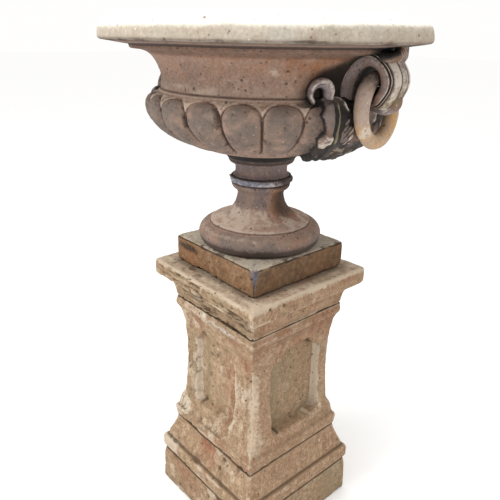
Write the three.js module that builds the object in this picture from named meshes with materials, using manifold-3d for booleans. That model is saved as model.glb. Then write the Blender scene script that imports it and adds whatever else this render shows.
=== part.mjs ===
// Garden urn with scroll-and-ring handles on a square panelled pedestal.
// Millimetres, +Z up, origin on the ground under the middle of the plinth.
// The square sides are parallel to X and Y.
import * as THREE from 'three';
import { mergeVertices } from 'three/addons/utils/BufferGeometryUtils.js';
import Module from 'manifold-3d';

const wasm = await Module();
wasm.setup();

// ---------------------------------------------------------------- dimensions
const GAP = 0.3;              // clearance between bedded pieces
const Z_RIM = 1237;           // lower edge of the rim above the ground
const RIM_R = 350;            // rim radius
const LOBES = 20;             // gadroons round the bowl
const LOBE_AZ = -42.5;        // azimuth of one valley between two gadroons
const HANDLES = [['a', 11.5], ['b', 185.5]];   // azimuth of each handle; they were set on by eye
const PLINTH_HALF = 194;      // half side of the plinth at the ground
const PLINTH_TOP = 110;
const BASE_TOP = 230;
const SHAFT_TOP = 612;
const CAP_TOP = 714;
const BLOCK_HALF = 146.5;
const BLOCK_TOP = 781;
const SOCLE_TOP = 926;
const MORTAR_TOP = 942;
const RING_R = 61;            // ring centre line radius
const RING_T = 16;            // ring section radius
const RING_U = 272;           // top of the ring from the urn axis
const RING_Z = Z_RIM - 123;   // ring centre height if it hung plumb
const RING_TWIST = -3;        // the ring hangs turned a little about the vertical
const RING_LEAN = 4;          // and leans out from the belly of the bowl
const STRAP_W = 76;           // handle strap width
const TAIL_W = 28;            // width of the strap's tail, which passes through the ring
const CURL_AZ = 28;           // side volutes, either side of the handle's middle
const CURL_Z = Z_RIM - 86;

// ---------------------------------------------------------------- helpers
function tidy(geo) {
  const g = geo.index ? geo.toNonIndexed() : geo.clone();
  for (const name of Object.keys(g.attributes)) if (name !== 'position') g.deleteAttribute(name);
  return mergeVertices(g, 1e-3);
}
function toSolid(geo) {
  const g = tidy(geo);
  const v = new Float32Array(g.attributes.position.array);
  const src = g.index.array;
  const keep = [];
  for (let i = 0; i < src.length; i += 3) {
    const [a, b, c] = [src[i], src[i + 1], src[i + 2]];
    if (a !== b && b !== c && a !== c) keep.push(a, b, c);
  }
  let vol = 0;
  const P = (i) => new THREE.Vector3(v[3 * i], v[3 * i + 1], v[3 * i + 2]);
  for (let i = 0; i < keep.length; i += 3) vol += P(keep[i]).dot(P(keep[i + 1]).cross(P(keep[i + 2])));
  if (vol < 0) for (let i = 0; i < keep.length; i += 3) [keep[i + 1], keep[i + 2]] = [keep[i + 2], keep[i + 1]];
  return new wasm.Manifold(new wasm.Mesh({ numProp: 3, vertProperties: v, triVerts: new Uint32Array(keep) }));
}
function toGeometry(solid) {
  const m = solid.getMesh();
  const g = new THREE.BufferGeometry();
  const pos = new Float32Array((m.vertProperties.length / m.numProp) * 3);
  for (let i = 0; i < pos.length / 3; i++) for (let k = 0; k < 3; k++) pos[3 * i + k] = m.vertProperties[m.numProp * i + k];
  g.setAttribute('position', new THREE.BufferAttribute(pos, 3));
  g.setIndex(new THREE.BufferAttribute(new Uint32Array(m.triVerts), 1));
  return g;
}
// closed [r, z] outline turned about Z; seg = 4 gives a square course whose r is the half side
function turned(outline, seg, startDeg = 0) {
  const k = seg === 4 ? Math.SQRT2 : 1;
  const pts = outline.map(([r, z]) => new THREE.Vector2(r * k, z));
  pts.push(pts[0].clone());
  const g = new THREE.LatheGeometry(pts, seg, THREE.MathUtils.degToRad(seg === 4 ? 45 : startDeg));
  g.rotateX(Math.PI / 2);
  return g;
}
function block(w, d, h, x, y, z) {
  const g = new THREE.BoxGeometry(w, d, h);
  g.translate(x, y, z);
  return g;
}
function roundedPrism(half, radius, z0, z1) {
  const s = new THREE.Shape();
  s.moveTo(half - radius, -half);
  s.absarc(half - radius, -half + radius, radius, -Math.PI / 2, 0, false);
  s.absarc(half - radius, half - radius, radius, 0, Math.PI / 2, false);
  s.absarc(-half + radius, half - radius, radius, Math.PI / 2, Math.PI, false);
  s.absarc(-half + radius, -half + radius, radius, Math.PI, 1.5 * Math.PI, false);
  const g = new THREE.ExtrudeGeometry(s, { depth: z1 - z0, bevelEnabled: false, curveSegments: 5 });
  g.translate(0, 0, z0);
  return g;
}
// outline in (u, z) swept across v from -w/2 to w/2; u points out of the urn
function strap(outline, w, holes = []) {
  const s = new THREE.Shape(outline.map(([u, z]) => new THREE.Vector2(u, z)));
  for (const h of holes) s.holes.push(new THREE.Path(h.map(([u, z]) => new THREE.Vector2(u, z))));
  const g = new THREE.ExtrudeGeometry(s, { depth: w, bevelEnabled: false, curveSegments: 6 });
  g.rotateX(Math.PI / 2);
  g.translate(0, w / 2, 0);
  return g;
}
function pipe(points, radius, closed = false, steps = 32, sides = 10) {
  const s = new THREE.Shape();
  s.absarc(0, 0, radius, 0, 2 * Math.PI, false);
  const path = new THREE.CatmullRomCurve3(points.map((p) => new THREE.Vector3(...p)), closed);
  return new THREE.ExtrudeGeometry(s, { steps, extrudePath: path, bevelEnabled: false, curveSegments: sides / 2 });
}

const look = {
  pale: new THREE.MeshStandardMaterial({ color: 0xcbb89c, roughness: 0.95, metalness: 0 }),
  bowl: new THREE.MeshStandardMaterial({ color: 0x8f7464, roughness: 0.9, metalness: 0 }),
  block: new THREE.MeshStandardMaterial({ color: 0x8a6a50, roughness: 0.9, metalness: 0 }),
  dark: new THREE.MeshStandardMaterial({ color: 0x5d524a, roughness: 0.9, metalness: 0 }),
  ring: new THREE.MeshStandardMaterial({ color: 0xb59a78, roughness: 0.9, metalness: 0 }),
  mortar: new THREE.MeshStandardMaterial({ color: 0xa99a90, roughness: 0.95, metalness: 0 }),
};
const urn = new THREE.Group();
urn.name = 'garden_urn';
function add(name, solid, material, parent = urn) {
  const geo = solid.getMesh ? toGeometry(solid) : tidy(solid);
  geo.computeVertexNormals();
  const mesh = new THREE.Mesh(geo, material.clone());
  mesh.name = name;
  parent.add(mesh);
  return mesh;
}

// ---------------------------------------------------------------- pedestal
const plinth = toSolid(turned([
  [PLINTH_HALF, 0], [193, 40], [191.5, 84], [189, 96], [186.5, PLINTH_TOP - GAP],
  [150, PLINTH_TOP - GAP], [154, 0]], 4)).intersect(toSolid(roundedPrism(PLINTH_HALF, 21, -1, PLINTH_TOP + 1)));
add('pedestal_plinth', plinth, look.pale);

const base = toSolid(turned([
  [186.5, PLINTH_TOP], [191.5, 121], [191.5, 146], [189, 153], [180, 160], [178, 166], [176, 174], [169, 190], [163, 206],
  [160.5, 214], [158.5, BASE_TOP - GAP], [122, BASE_TOP - GAP], [124, 206], [150, 160], [150, PLINTH_TOP]], 4));
add('pedestal_base_moulding', base, look.pale);

let shaft = toSolid(turned([
  [158.5, BASE_TOP], [161, 248], [162, 256], [160, 264], [153, 272], [152.5, 278], [149, 295], [146.5, 312], [139, 366],
  [134.5, 419], [134.5, 473], [137.5, 533], [142.5, 565], [147, 581], [150, 589], [151.5, 600], [150.5, SHAFT_TOP - GAP],
  [112, SHAFT_TOP - GAP], [100, 533], [100, 366], [122, BASE_TOP]], 4));
// stopped chamfers on the four upright corners
for (let i = 0; i < 4; i++) {
  const a = Math.PI / 4 + i * Math.PI / 2;
  const g = new THREE.BoxGeometry(40, 80, 170);
  g.translate(134.5 * Math.SQRT2 - 13 + 20, 0, 430);
  g.rotateZ(a);
  shaft = shaft.subtract(toSolid(g));
}
// sunken panel with canted corners in each side
const panelShape = new THREE.Shape([[-78, 322], [-92, 336], [-92, 480], [-72, 506], [-58, 528], [58, 528], [72, 506], [92, 480], [92, 336], [78, 322]]
  .map(([x, y]) => new THREE.Vector2(x, y)));
for (let i = 0; i < 4; i++) {
  const g = new THREE.ExtrudeGeometry(panelShape, { depth: 60, bevelEnabled: false });
  g.rotateX(Math.PI / 2);
  g.translate(0, -123, 0);
  g.rotateZ(i * Math.PI / 2);
  shaft = shaft.subtract(toSolid(g));
}
add('pedestal_shaft', shaft, look.pale);

const cap = toSolid(turned([
  [150.5, SHAFT_TOP], [151, 622], [153, 640], [157, 656], [163, 667], [166, 670], [186, 670], [189.5, 675], [189.5, 708],
  [186, CAP_TOP - GAP], [60, CAP_TOP - GAP], [60, 684], [128, 676], [112, SHAFT_TOP]], 4));
add('pedestal_cap', cap, look.pale);

// ---------------------------------------------------------------- foot and stem
const squareBlock = toSolid(turned([
  [145, CAP_TOP], [146.5, 720], [146.5, 774], [143, BLOCK_TOP - GAP], [60, BLOCK_TOP - GAP], [60, 757], [112, 757], [112, CAP_TOP]], 4));
add('urn_square_block', squareBlock, look.block);

const socle = toSolid(turned([
  [138, BLOCK_TOP], [146, 791], [149, 801], [148, 809], [143, 819], [134, 826], [124, 829.5], [122, 832], [108, 838], [90, 845],
  [74, 853], [63, 868], [56, 887], [56, 902], [66, 912], [71, SOCLE_TOP - GAP],
  [22, SOCLE_TOP - GAP], [22, 890], [34, 858], [80, 820], [112, 798], [114, BLOCK_TOP]], 40));
add('urn_socle', socle, look.bowl);

const mortar = toSolid(turned([[71, SOCLE_TOP], [74, 930], [74, 936], [70, MORTAR_TOP - GAP], [22, MORTAR_TOP - GAP], [22, SOCLE_TOP]], 36));
add('stem_mortar_bed', mortar, look.mortar);

// ---------------------------------------------------------------- bowl
// outer profile from the collar up, with how deep the valley between two gadroons is
const outer = [
  [67, -295, 0], [61, -288, 0], [61, -273, 0], [76, -262, 0], [84, -247, 0], [97, -235, 0],
  [112, -229, 2], [134, -223, 7], [158, -215.5, 10], [181, -207, 12], [203, -197, 13], [222, -185.5, 13], [238, -173, 13], [250, -160.5, 13],
  [258, -148.5, 12], [261, -137, 11], [258.5, -124, 8], [246, -110.5, 1], [231.5, -105.5, 0], [226, -98, 0], [224.3, -82, 0],
  [228, -60, 0], [238, -40.5, 0], [250, -27.5, 0], [262, -21.8, 0], [287, -19, 0], [288.5, -9.5, 0], [345, -1.5, 0], [RIM_R, 4, 0],
  [RIM_R, 18, 0], [344, 32, 0], [330, 43.5, 0], [312, 49, 0]];
const inner = [[298, 45], [286, 28], [262, -4], [220, -36], [200, -70], [204, -104], [226, -124], [230, -142],
  [214, -166], [170, -190], [100, -204], [24, -210], [20, -216], [20, -295]];
const loop = [...outer.map(([r, z]) => [r, Z_RIM + z]), ...inner.map(([r, z]) => [r, Z_RIM + z])];
const SEG = LOBES * 3;
const bowlGeo = turned(loop, SEG, 90 + LOBE_AZ);
{
  const p = bowlGeo.attributes.position;
  const n = loop.length + 1;
  for (let i = 0; i <= SEG; i++) if (i % 3 === 0) for (let j = 0; j < outer.length; j++) {
    const k = i * n + j;
    const f = (outer[j][0] - outer[j][2]) / outer[j][0];
    p.setX(k, p.getX(k) * f);
    p.setY(k, p.getY(k) * f);
  }
}
const bowl = toSolid(bowlGeo);
add('urn_bowl', bowl, look.bowl);

// ---------------------------------------------------------------- handles
// each handle group has +X pointing out of the urn (u), Y along the rim (v)
const trim = toSolid(turned([...outer.map(([r, z]) => [r + 0.3, Z_RIM + z]), [10, Z_RIM + 49], [10, Z_RIM - 295]], 60, 90 + LOBE_AZ));
for (const [tag, az] of HANDLES) {
  const h = new THREE.Group();
  h.rotation.z = THREE.MathUtils.degToRad(az);
  urn.add(h);
  const cut = (geo) => toSolid(geo).subtract(trim.rotate([0, 0, -az]));
  const at = (pts) => pts.map(([u, z]) => [u, Z_RIM + z]);
  // strap scroll: a wide hook that springs from the neck, rises under the rim and comes down outside the ring,
  // a narrow tail that turns back through the ring to the bowl, and a tongue up to the rim
  const hook = strap(at([
    [214, -112], [211, -95], [212, -78], [217, -58], [226, -39], [240, -26], [258, -19.5], [276, -21], [292, -30],
    [306, -44], [315, -58], [317, -72], [315, -88], [308, -103], [297, -112], [293, -103], [299, -94], [301, -82], [299, -70],
    [294, -59], [286, -50], [276, -44], [266, -42], [257, -45], [249.5, -54], [246, -66], [244, -80], [242, -95], [240, -108]]), STRAP_W);
  const tail = strap(at([
    [301, -54], [318, -60], [319, -78], [317, -96], [309, -111], [298, -112], [286, -105], [272, -100], [260, -103],
    [250, -110], [236, -108], [240, -98], [250, -90], [260, -84.5], [272, -82], [286, -84], [303, -88]]), TAIL_W);
  const tongue = strap(at([[276, -26], [296, -34], [312, -36], [322, -28], [327, -16], [329, -2], [318, -2], [308, -6], [298, -14], [286, -21]]), 26);
  add(`handle_${tag}_scroll`, cut(hook).add(cut(tail)).add(cut(tongue)), look.dark, h);
  // leaf mount: a leaf lying on the gadroons under the scroll, folded up along its two edges
  const wedge = (a0, a1, r0, r1, z0, z1) => {
    const s = new THREE.Shape();
    s.absarc(0, 0, r1, THREE.MathUtils.degToRad(a0), THREE.MathUtils.degToRad(a1), false);
    s.absarc(0, 0, r0, THREE.MathUtils.degToRad(a1), THREE.MathUtils.degToRad(a0), true);
    const g = new THREE.ExtrudeGeometry(s, { depth: z1 - z0, bevelEnabled: false, curveSegments: 4 });
    g.translate(0, 0, Z_RIM + z0);
    return toSolid(g);
  };
  const thick = (t) => toSolid(turned([...outer.filter((p) => p[1] < -100 && p[1] > -240).map(([r, z]) => [r + t * 0.8, Z_RIM + z - (z < -140 ? t * 0.6 : 0)]),
    [10, Z_RIM - 105], [10, Z_RIM - 240]], 60, 90 + LOBE_AZ)).rotate([0, 0, -az]);
  let leaf = thick(4).intersect(wedge(-27, 27, 120, 300, -214, -113));
  for (const side of [-1, 1]) leaf = leaf.add(thick(16).intersect(wedge(side * 23 - 4, side * 23 + 4, 150, 300, -206, -113)));
  leaf = leaf.subtract(trim.rotate([0, 0, -az])).subtract(toSolid(block(80, 32, 40, 260, 0, Z_RIM - 104)));
  add(`handle_${tag}_leaf`, leaf, look.dark, h);
  // side volutes on the neck
  for (const side of [-1, 1]) {
    const c = new THREE.CylinderGeometry(26, 26, 30, 18);
    c.rotateZ(Math.PI / 2);
    c.translate(233, 0, CURL_Z);
    const floor = block(80, 80, 40, 233, 0, Z_RIM - 126);
    for (const g of [c, floor]) g.rotateZ(THREE.MathUtils.degToRad(side * CURL_AZ));
    add(`handle_${tag}_curl_${side < 0 ? 'left' : 'right'}`, cut(c).subtract(toSolid(floor)), look.dark, h);
  }
  // free ring through the eye
  const ring = new THREE.TorusGeometry(RING_R, RING_T, 10, 28);
  ring.rotateY(Math.PI / 2);
  ring.translate(0, 0, -RING_R);
  ring.rotateY(-THREE.MathUtils.degToRad(RING_LEAN));
  ring.rotateZ(THREE.MathUtils.degToRad(RING_TWIST));
  ring.translate(RING_U, 0, RING_Z + RING_R);
  add(`handle_${tag}_ring`, toSolid(ring), look.ring, h);
}

export default urn;
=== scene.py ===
import math

import bpy
import numpy as np
from mathutils import Matrix, Vector


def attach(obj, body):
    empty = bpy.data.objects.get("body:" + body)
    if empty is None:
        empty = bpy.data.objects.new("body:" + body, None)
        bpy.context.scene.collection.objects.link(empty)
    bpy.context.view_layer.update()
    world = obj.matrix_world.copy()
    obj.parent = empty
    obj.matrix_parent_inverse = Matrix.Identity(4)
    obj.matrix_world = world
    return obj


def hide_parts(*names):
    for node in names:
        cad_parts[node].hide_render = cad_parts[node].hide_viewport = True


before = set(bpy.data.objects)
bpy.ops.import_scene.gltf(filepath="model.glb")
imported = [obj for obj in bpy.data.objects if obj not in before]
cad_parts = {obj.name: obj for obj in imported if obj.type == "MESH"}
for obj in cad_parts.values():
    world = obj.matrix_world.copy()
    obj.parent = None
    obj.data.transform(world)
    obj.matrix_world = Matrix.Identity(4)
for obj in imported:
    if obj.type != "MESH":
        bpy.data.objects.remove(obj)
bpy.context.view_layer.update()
bpy.context.scene.view_settings.view_transform = "Standard"

# ------------------------------------------------------------------ numbers, in mm
Z_RIM = 1237.0
LOBES = 20
LOBE_AZ = math.radians(-42.5)
HANDLES = (("a", math.radians(11.5)), ("b", math.radians(185.5)))
CAM_AZ = math.radians(-42.5)
RING_R, RING_T, RING_U, RING_Z, RING_TWIST, RING_LEAN = 61.0, 15.3, 272.0, -123.0, math.radians(-3), math.radians(4)


# ------------------------------------------------------------------ noise
def _hash(ix, iy, iz, seed):
    h = (ix * 374761393 + iy * 668265263 + iz * 1442695041 + seed * 144665977) & 0xFFFFFFFF
    h = ((h ^ (h >> 13)) * 1274126177) & 0xFFFFFFFF
    h = ((h ^ (h >> 16)) * 2246822519) & 0xFFFFFFFF
    return ((h ^ (h >> 15)) & 0xFFFFFF) / float(0x1000000)


def vnoise(p, scale, seed=0):
    """Smooth value noise in -1..1."""
    q = p / np.asarray(scale, float)
    i = np.floor(q).astype(np.int64)
    f = q - i
    u = f * f * f * (f * (f * 6 - 15) + 10)
    out = 0.0
    for dx in (0, 1):
        wx = u[..., 0] if dx else 1 - u[..., 0]
        for dy in (0, 1):
            wy = u[..., 1] if dy else 1 - u[..., 1]
            for dz in (0, 1):
                wz = u[..., 2] if dz else 1 - u[..., 2]
                out = out + wx * wy * wz * _hash(i[..., 0] + dx, i[..., 1] + dy, i[..., 2] + dz, seed)
    return out * 2 - 1


def fbm(p, scale, octaves=4, seed=0, gain=0.5):
    out, amp, tot = 0.0, 1.0, 0.0
    s = np.asarray(scale, float)
    for k in range(octaves):
        out = out + amp * vnoise(p + 17.3 * k, s, seed + 31 * k)
        tot += amp
        amp *= gain
        s = s / 2.03
    return out / tot


def cells(p, scale, seed=0):
    """Distance to the nearest scattered point, in units of the cell, and that point's own random number."""
    q = p / scale
    i = np.floor(q).astype(np.int64)
    best = np.full(q.shape[:-1], 9.0)
    who = np.zeros(q.shape[:-1])
    for dx in (-1, 0, 1):
        for dy in (-1, 0, 1):
            for dz in (-1, 0, 1):
                c = i + np.array([dx, dy, dz])
                j = np.stack([_hash(c[..., 0], c[..., 1], c[..., 2], seed + k) for k in (1, 2, 3)], -1)
                d = np.linalg.norm(c + j - q, axis=-1)
                near = d < best
                best = np.where(near, d, best)
                who = np.where(near, _hash(c[..., 0], c[..., 1], c[..., 2], seed + 9), who)
    return best, who


def sstep(a, b, x):
    t = np.clip((x - a) / (b - a), 0, 1)
    return t * t * (3 - 2 * t)


def bump(x, c, w):
    return np.exp(-((x - c) / w) ** 2)


def pits(p, scale, share, seed):
    """1 in the middle of scattered round pits, 0 elsewhere; share is how many cells have one."""
    d, who = cells(p, scale, seed)
    size = 0.18 + 0.25 * (who / max(share, 1e-6))
    return np.where(who < share, np.clip(1 - (d / size) ** 2, 0, 1), 0)


# ------------------------------------------------------------------ meshes
def closed_normals(P):
    du = np.roll(P, -1, 0) - np.roll(P, 1, 0)
    dv = np.roll(P, -1, 1) - np.roll(P, 1, 1)
    n = np.cross(du, dv)
    return n / np.maximum(np.linalg.norm(n, axis=-1, keepdims=True), 1e-9)


def finish_piece(name, me, masks_, material, body, replaces):
    for key, value in masks_.items():
        a = me.attributes.new("m_" + key, "FLOAT", "POINT")
        a.data.foreach_set("value", np.clip(np.asarray(value, np.float32).ravel(), 0, 1))
    me.materials.append(material)
    o = bpy.data.objects.new(name, me)
    bpy.context.scene.collection.objects.link(o)
    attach(o, body)
    if replaces:
        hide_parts(*replaces)
    return o


def mesh_from(name, verts, faces, masks_, material, body, replaces=()):
    me = bpy.data.meshes.new(name)
    verts = np.asarray(verts, np.float32) * 0.001
    faces = np.asarray(faces, np.int32)
    k = faces.shape[1]
    me.vertices.add(len(verts))
    me.vertices.foreach_set("co", verts.ravel())
    me.loops.add(faces.size)
    me.loops.foreach_set("vertex_index", faces.ravel())
    me.polygons.add(len(faces))
    me.polygons.foreach_set("loop_start", np.arange(0, faces.size, k, dtype=np.int32))
    me.polygons.foreach_set("use_smooth", np.full(len(faces), True))
    me.update(calc_edges=True)
    me.validate()
    return finish_piece(name, me, masks_, material, body, replaces)


def grid_faces(nu, nv, closed_u=True, closed_v=True):
    iu = np.arange(nu if closed_u else nu - 1)
    iv = np.arange(nv if closed_v else nv - 1)
    a, b = np.meshgrid(iu, iv, indexing="ij")
    c, d = (a + 1) % nu, (b + 1) % nv
    return np.stack([a * nv + b, c * nv + b, c * nv + d, a * nv + d], -1).reshape(-1, 4)


def walk(pts, d):
    out = []
    for a, b in zip(pts[:-1], pts[1:]):
        a, b = np.array(a, float), np.array(b, float)
        n = max(1, int(round(np.linalg.norm(b - a) / d)))
        out += [a + (b - a) * k / n for k in range(n)]
    return out


def loop_profile(outer, inner, step, coarse, sigma):
    """Closed profile, resampled and rounded. step is a number, or a function of the (r, z) points. Returns points and 1 on the outer part."""
    o = np.array(walk(outer, 0.5) + [outer[-1]])
    sig = sigma * 2
    r = int(3 * sig) + 1
    w = np.exp(-0.5 * (np.arange(-r, r + 1) / max(sig, 1e-3)) ** 2)
    w /= w.sum()
    ext = np.concatenate([np.repeat(o[:1], r, 0), o, np.repeat(o[-1:], r, 0)])
    sm = np.stack([np.convolve(ext[:, k], w, "valid") for k in (0, 1)], -1)
    seg = np.linalg.norm(np.diff(sm, axis=0), axis=1)
    st = step(0.5 * (sm[1:] + sm[:-1])) if callable(step) else np.full(len(seg), float(step))
    L = np.concatenate([[0], np.cumsum(seg / st)])
    n = max(8, int(L[-1]))
    t = np.linspace(0, L[-1], n)
    so = np.stack([np.interp(t, L, sm[:, k]) for k in (0, 1)], -1)
    i = np.array(walk(list(inner), coarse) + [inner[-1]])
    return np.concatenate([so, i]), np.concatenate([np.ones(len(so)), np.zeros(len(i))])


def square_grid(profile, rho, nside=120, narc=8, chamfer=None):
    """Grid (perimeter, profile, 3) round a square with rounded corners, plus side direction, place along the side and distance to the corner."""
    ring = []
    for k in range(4):
        c, s = [(1, 0), (0, 1), (-1, 0), (0, -1)][k]
        for j in range(nside):
            ring.append((c, s, -1 + 2 * j / nside, 0.0))
        for j in range(narc):
            ring.append((c, s, 1.0, (j + 0.0) / narc))
    c, s, y, a = np.array(ring).T
    half = profile[:, 0][None, :]
    rho = np.minimum(np.broadcast_to(np.asarray(rho, float), half.shape), half * 0.45)
    flat = half - rho
    arc = a[:, None] * math.pi / 2
    lx = np.where(a[:, None] > 0, flat + rho * np.cos(arc), half + 0 * arc)
    ly = np.where(a[:, None] > 0, flat + rho * np.sin(arc), y[:, None] * flat)
    X = c[:, None] * lx - s[:, None] * ly
    Y = s[:, None] * lx + c[:, None] * ly
    Z = np.broadcast_to(profile[:, 1][None, :], X.shape)
    P = np.stack([X, Y, Z], -1)
    nx, ny = np.where(a[:, None] > 0, np.cos(arc), 1 + 0 * arc), np.where(a[:, None] > 0, np.sin(arc), 0 * arc)
    NX = c[:, None] * nx - s[:, None] * ny + 0 * X
    NY = s[:, None] * nx + c[:, None] * ny + 0 * X
    corner = np.where(a[:, None] > 0, 0, half - np.abs(ly))
    along = ly + 0 * X
    if chamfer:
        P = cut_corners(P, *chamfer)
    return P, NX, NY, along, corner


def cut_corners(P, z0, z1, depth):
    """Cuts the upright corners towards the camera and away from it back to a flat face between two stops; the other two are only worn."""
    z = P[..., 2]
    reach = sstep(z0, z0 + 26, z) * sstep(z1, z1 - 26, z)
    c = (np.abs(P[..., 0]) + np.abs(P[..., 1])) / math.sqrt(2)
    full = 134.5 * math.sqrt(2) + (np.maximum(np.abs(P[..., 0]), np.abs(P[..., 1])) - 134.5) * 0.6
    depth = np.where(P[..., 0] * P[..., 1] < 0, depth, 1.5)
    over = np.clip(c - (full - depth), 0, None) * reach
    q = P.copy()
    q[..., 0] -= np.sign(P[..., 0]) * over / math.sqrt(2)
    q[..., 1] -= np.sign(P[..., 1]) * over / math.sqrt(2)
    return q


# ------------------------------------------------------------------ materials
# colour masks: the dirt, soot and moss masks carry real dirt, soot and lichen and also painted shade; the pale mask
# carries paler clay and also painted highlights
KEYS = ("pale", "dirt", "warm", "moss", "soot", "cool")


def clay(name, a, b, c, pale, dirt, warm, moss, cool, soot=(0.012, 0.010, 0.009), contrast=0.24, grain=0.16, blotch=48.0, fine=1.0,
         rough=0.9, bump_h=0.6, spec=0.25, pit=0.7, fleck=0.5, ragged=1.6, soft=0.22):
    m = bpy.data.materials.new(name)
    m.use_nodes = True
    nt = m.node_tree
    nt.nodes.clear()
    N, L = nt.nodes, nt.links
    out = N.new("ShaderNodeOutputMaterial")
    bs = N.new("ShaderNodeBsdfPrincipled")
    L.new(bs.outputs[0], out.inputs[0])
    tc = N.new("ShaderNodeTexCoord")

    def place(stretch, offset):
        mp = N.new("ShaderNodeMapping")
        mp.inputs["Location"].default_value = (offset, offset * 0.7, -offset)
        mp.inputs["Scale"].default_value = stretch
        L.new(tc.outputs["Object"], mp.inputs["Vector"])
        return mp.outputs[0]

    def noise(scale_mm, detail=4, rough_=0.55, stretch=(1, 1, 1), offset=0.0):
        t = N.new("ShaderNodeTexNoise")
        t.inputs["Scale"].default_value = 1000.0 / scale_mm
        t.inputs["Detail"].default_value = detail
        t.inputs["Roughness"].default_value = rough_
        L.new(place(stretch, offset), t.inputs["Vector"])
        return t.outputs["Fac"]

    def ramp(fac, lo, hi, to0=0.0, to1=1.0, smooth=True):
        r = N.new("ShaderNodeMapRange")
        if smooth:
            r.interpolation_type = "SMOOTHSTEP"
        r.inputs["From Min"].default_value = lo
        r.inputs["From Max"].default_value = hi
        r.inputs["To Min"].default_value = to0
        r.inputs["To Max"].default_value = to1
        L.new(fac, r.inputs["Value"])
        return r.outputs["Result"]

    def math_(op, x, y, clamp=False):
        n = N.new("ShaderNodeMath")
        n.operation = op
        n.use_clamp = clamp
        for s, v in ((0, x), (1, y)):
            if isinstance(v, (int, float)):
                n.inputs[s].default_value = v
            else:
                L.new(v, n.inputs[s])
        return n.outputs[0]

    def mul(x, y):
        return math_("MULTIPLY", x, y)

    def add(x, y, clamp=False):
        return math_("ADD", x, y, clamp)

    def mix(x, y, fac, mode="MIX"):
        n = N.new("ShaderNodeMix")
        n.data_type = "RGBA"
        n.blend_type = mode
        n.clamp_factor = True
        for s, v in (("A", x), ("B", y)):
            sock = [q for q in n.inputs if q.name == s and q.type == "RGBA"][0]
            if isinstance(v, tuple):
                sock.default_value = (*v, 1)
            else:
                L.new(v, sock)
        f = [q for q in n.inputs if q.name == "Factor" and q.type == "VALUE"][0]
        if isinstance(fac, (int, float)):
            f.default_value = fac
        else:
            L.new(fac, f)
        return [q for q in n.outputs if q.type == "RGBA"][0]

    def grey(value):
        comb = N.new("ShaderNodeCombineColor")
        for k in range(3):
            L.new(value, comb.inputs[k])
        return comb.outputs[0]

    def mask(key):
        n = N.new("ShaderNodeAttribute")
        n.attribute_type = "GEOMETRY"
        n.attribute_name = "m_" + key
        return n.outputs["Fac"]

    def dots(scale_mm, radius, share, offset):
        """Scattered round dots: 1 inside."""
        v = N.new("ShaderNodeTexVoronoi")
        v.inputs["Scale"].default_value = 1000.0 / scale_mm
        L.new(place((1, 1, 1), offset), v.inputs["Vector"])
        sep = N.new("ShaderNodeSeparateColor")
        L.new(v.outputs["Color"], sep.inputs[0])
        have = ramp(sep.outputs[0], share, share - 0.02)
        return mul(ramp(v.outputs["Distance"], radius, radius * 0.45), have)

    big = noise(blotch, 4, 0.55, offset=0.31)
    med = noise(15.0, 5, 0.62, offset=1.7)
    small = noise(6.0 * fine, 5, 0.68, offset=2.9)
    grit = noise(2.1 * fine, 2, 0.6, offset=0.9)
    streak = noise(17, 4, 0.6, stretch=(1, 1, 0.16), offset=4.2)

    def cover(key, width=soft, bias=0.42, k=ragged):
        """A mask with a ragged edge: where it is one half, half the surface is covered."""
        n = add(mul(add(mul(small, 0.6), mul(med, 0.4)), k), -0.5 * k)
        return mul(ramp(add(mask(key), n), bias - width, bias + width), ramp(mask(key), 0.02, 0.15))

    col = mix(a, b, ramp(big, 0.42, 0.58))
    col = mix(col, c, mul(ramp(med, 0.47, 0.62), 0.8))
    col = mix(col, cool, mul(mask("cool"), ramp(med, 0.30, 0.60, 0.55, 1.0)))
    col = mix(col, warm, mul(mask("warm"), ramp(streak, 0.36, 0.60, 0.35, 1.0)))
    col = mix(col, moss, mul(mask("moss"), ramp(small, 0.34, 0.60, 0.35, 1.0)))
    # mottling and sandy grain
    g = mul(ramp(small, 0.30, 0.70, 1 - contrast, 1 + contrast, False), ramp(grit, 0.28, 0.72, 1 - grain, 1 + grain, False))
    g = mul(g, ramp(med, 0.3, 0.7, 1 - contrast * 0.5, 1 + contrast * 0.5, False))
    col = mix(col, grey(g), 1.0, "MULTIPLY")
    col = mix(col, pale, mul(cover("pale"), 0.85))
    col = mix(col, pale, mul(dots(7.5 * fine, 0.30, 0.28 * fleck, 3.3), 0.45))
    # the dirt and soot colours go where their masks say, which is real dirt and soot and also painted shade
    col = mix(col, dirt, mul(cover("dirt"), 0.9))
    col = mix(col, dirt, mul(dots(8.5 * fine, 0.30, 0.35 * pit, 6.1), 0.6))
    col = mix(col, dirt, mul(dots(19.0 * fine, 0.22, 0.45 * pit, 8.7), 0.75))
    col = mix(col, soot, mul(ramp(add(mask("soot"), add(mul(small, 0.5), -0.25)), 0.08, 0.85), 0.96))
    L.new(col, bs.inputs["Base Color"])
    L.new(ramp(small, 0.25, 0.75, rough - 0.12, min(1.0, rough + 0.06), False), bs.inputs["Roughness"])
    bs.inputs["Specular IOR Level"].default_value = spec
    h = add(mul(grit, 0.35), add(mul(small, 0.9), mul(dots(8.5 * fine, 0.30, 0.35 * pit, 6.1), -0.7)))
    bp = N.new("ShaderNodeBump")
    bp.inputs["Strength"].default_value = bump_h
    bp.inputs["Distance"].default_value = 0.0016
    L.new(h, bp.inputs["Height"])
    L.new(bp.outputs[0], bs.inputs["Normal"])
    return m


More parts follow.
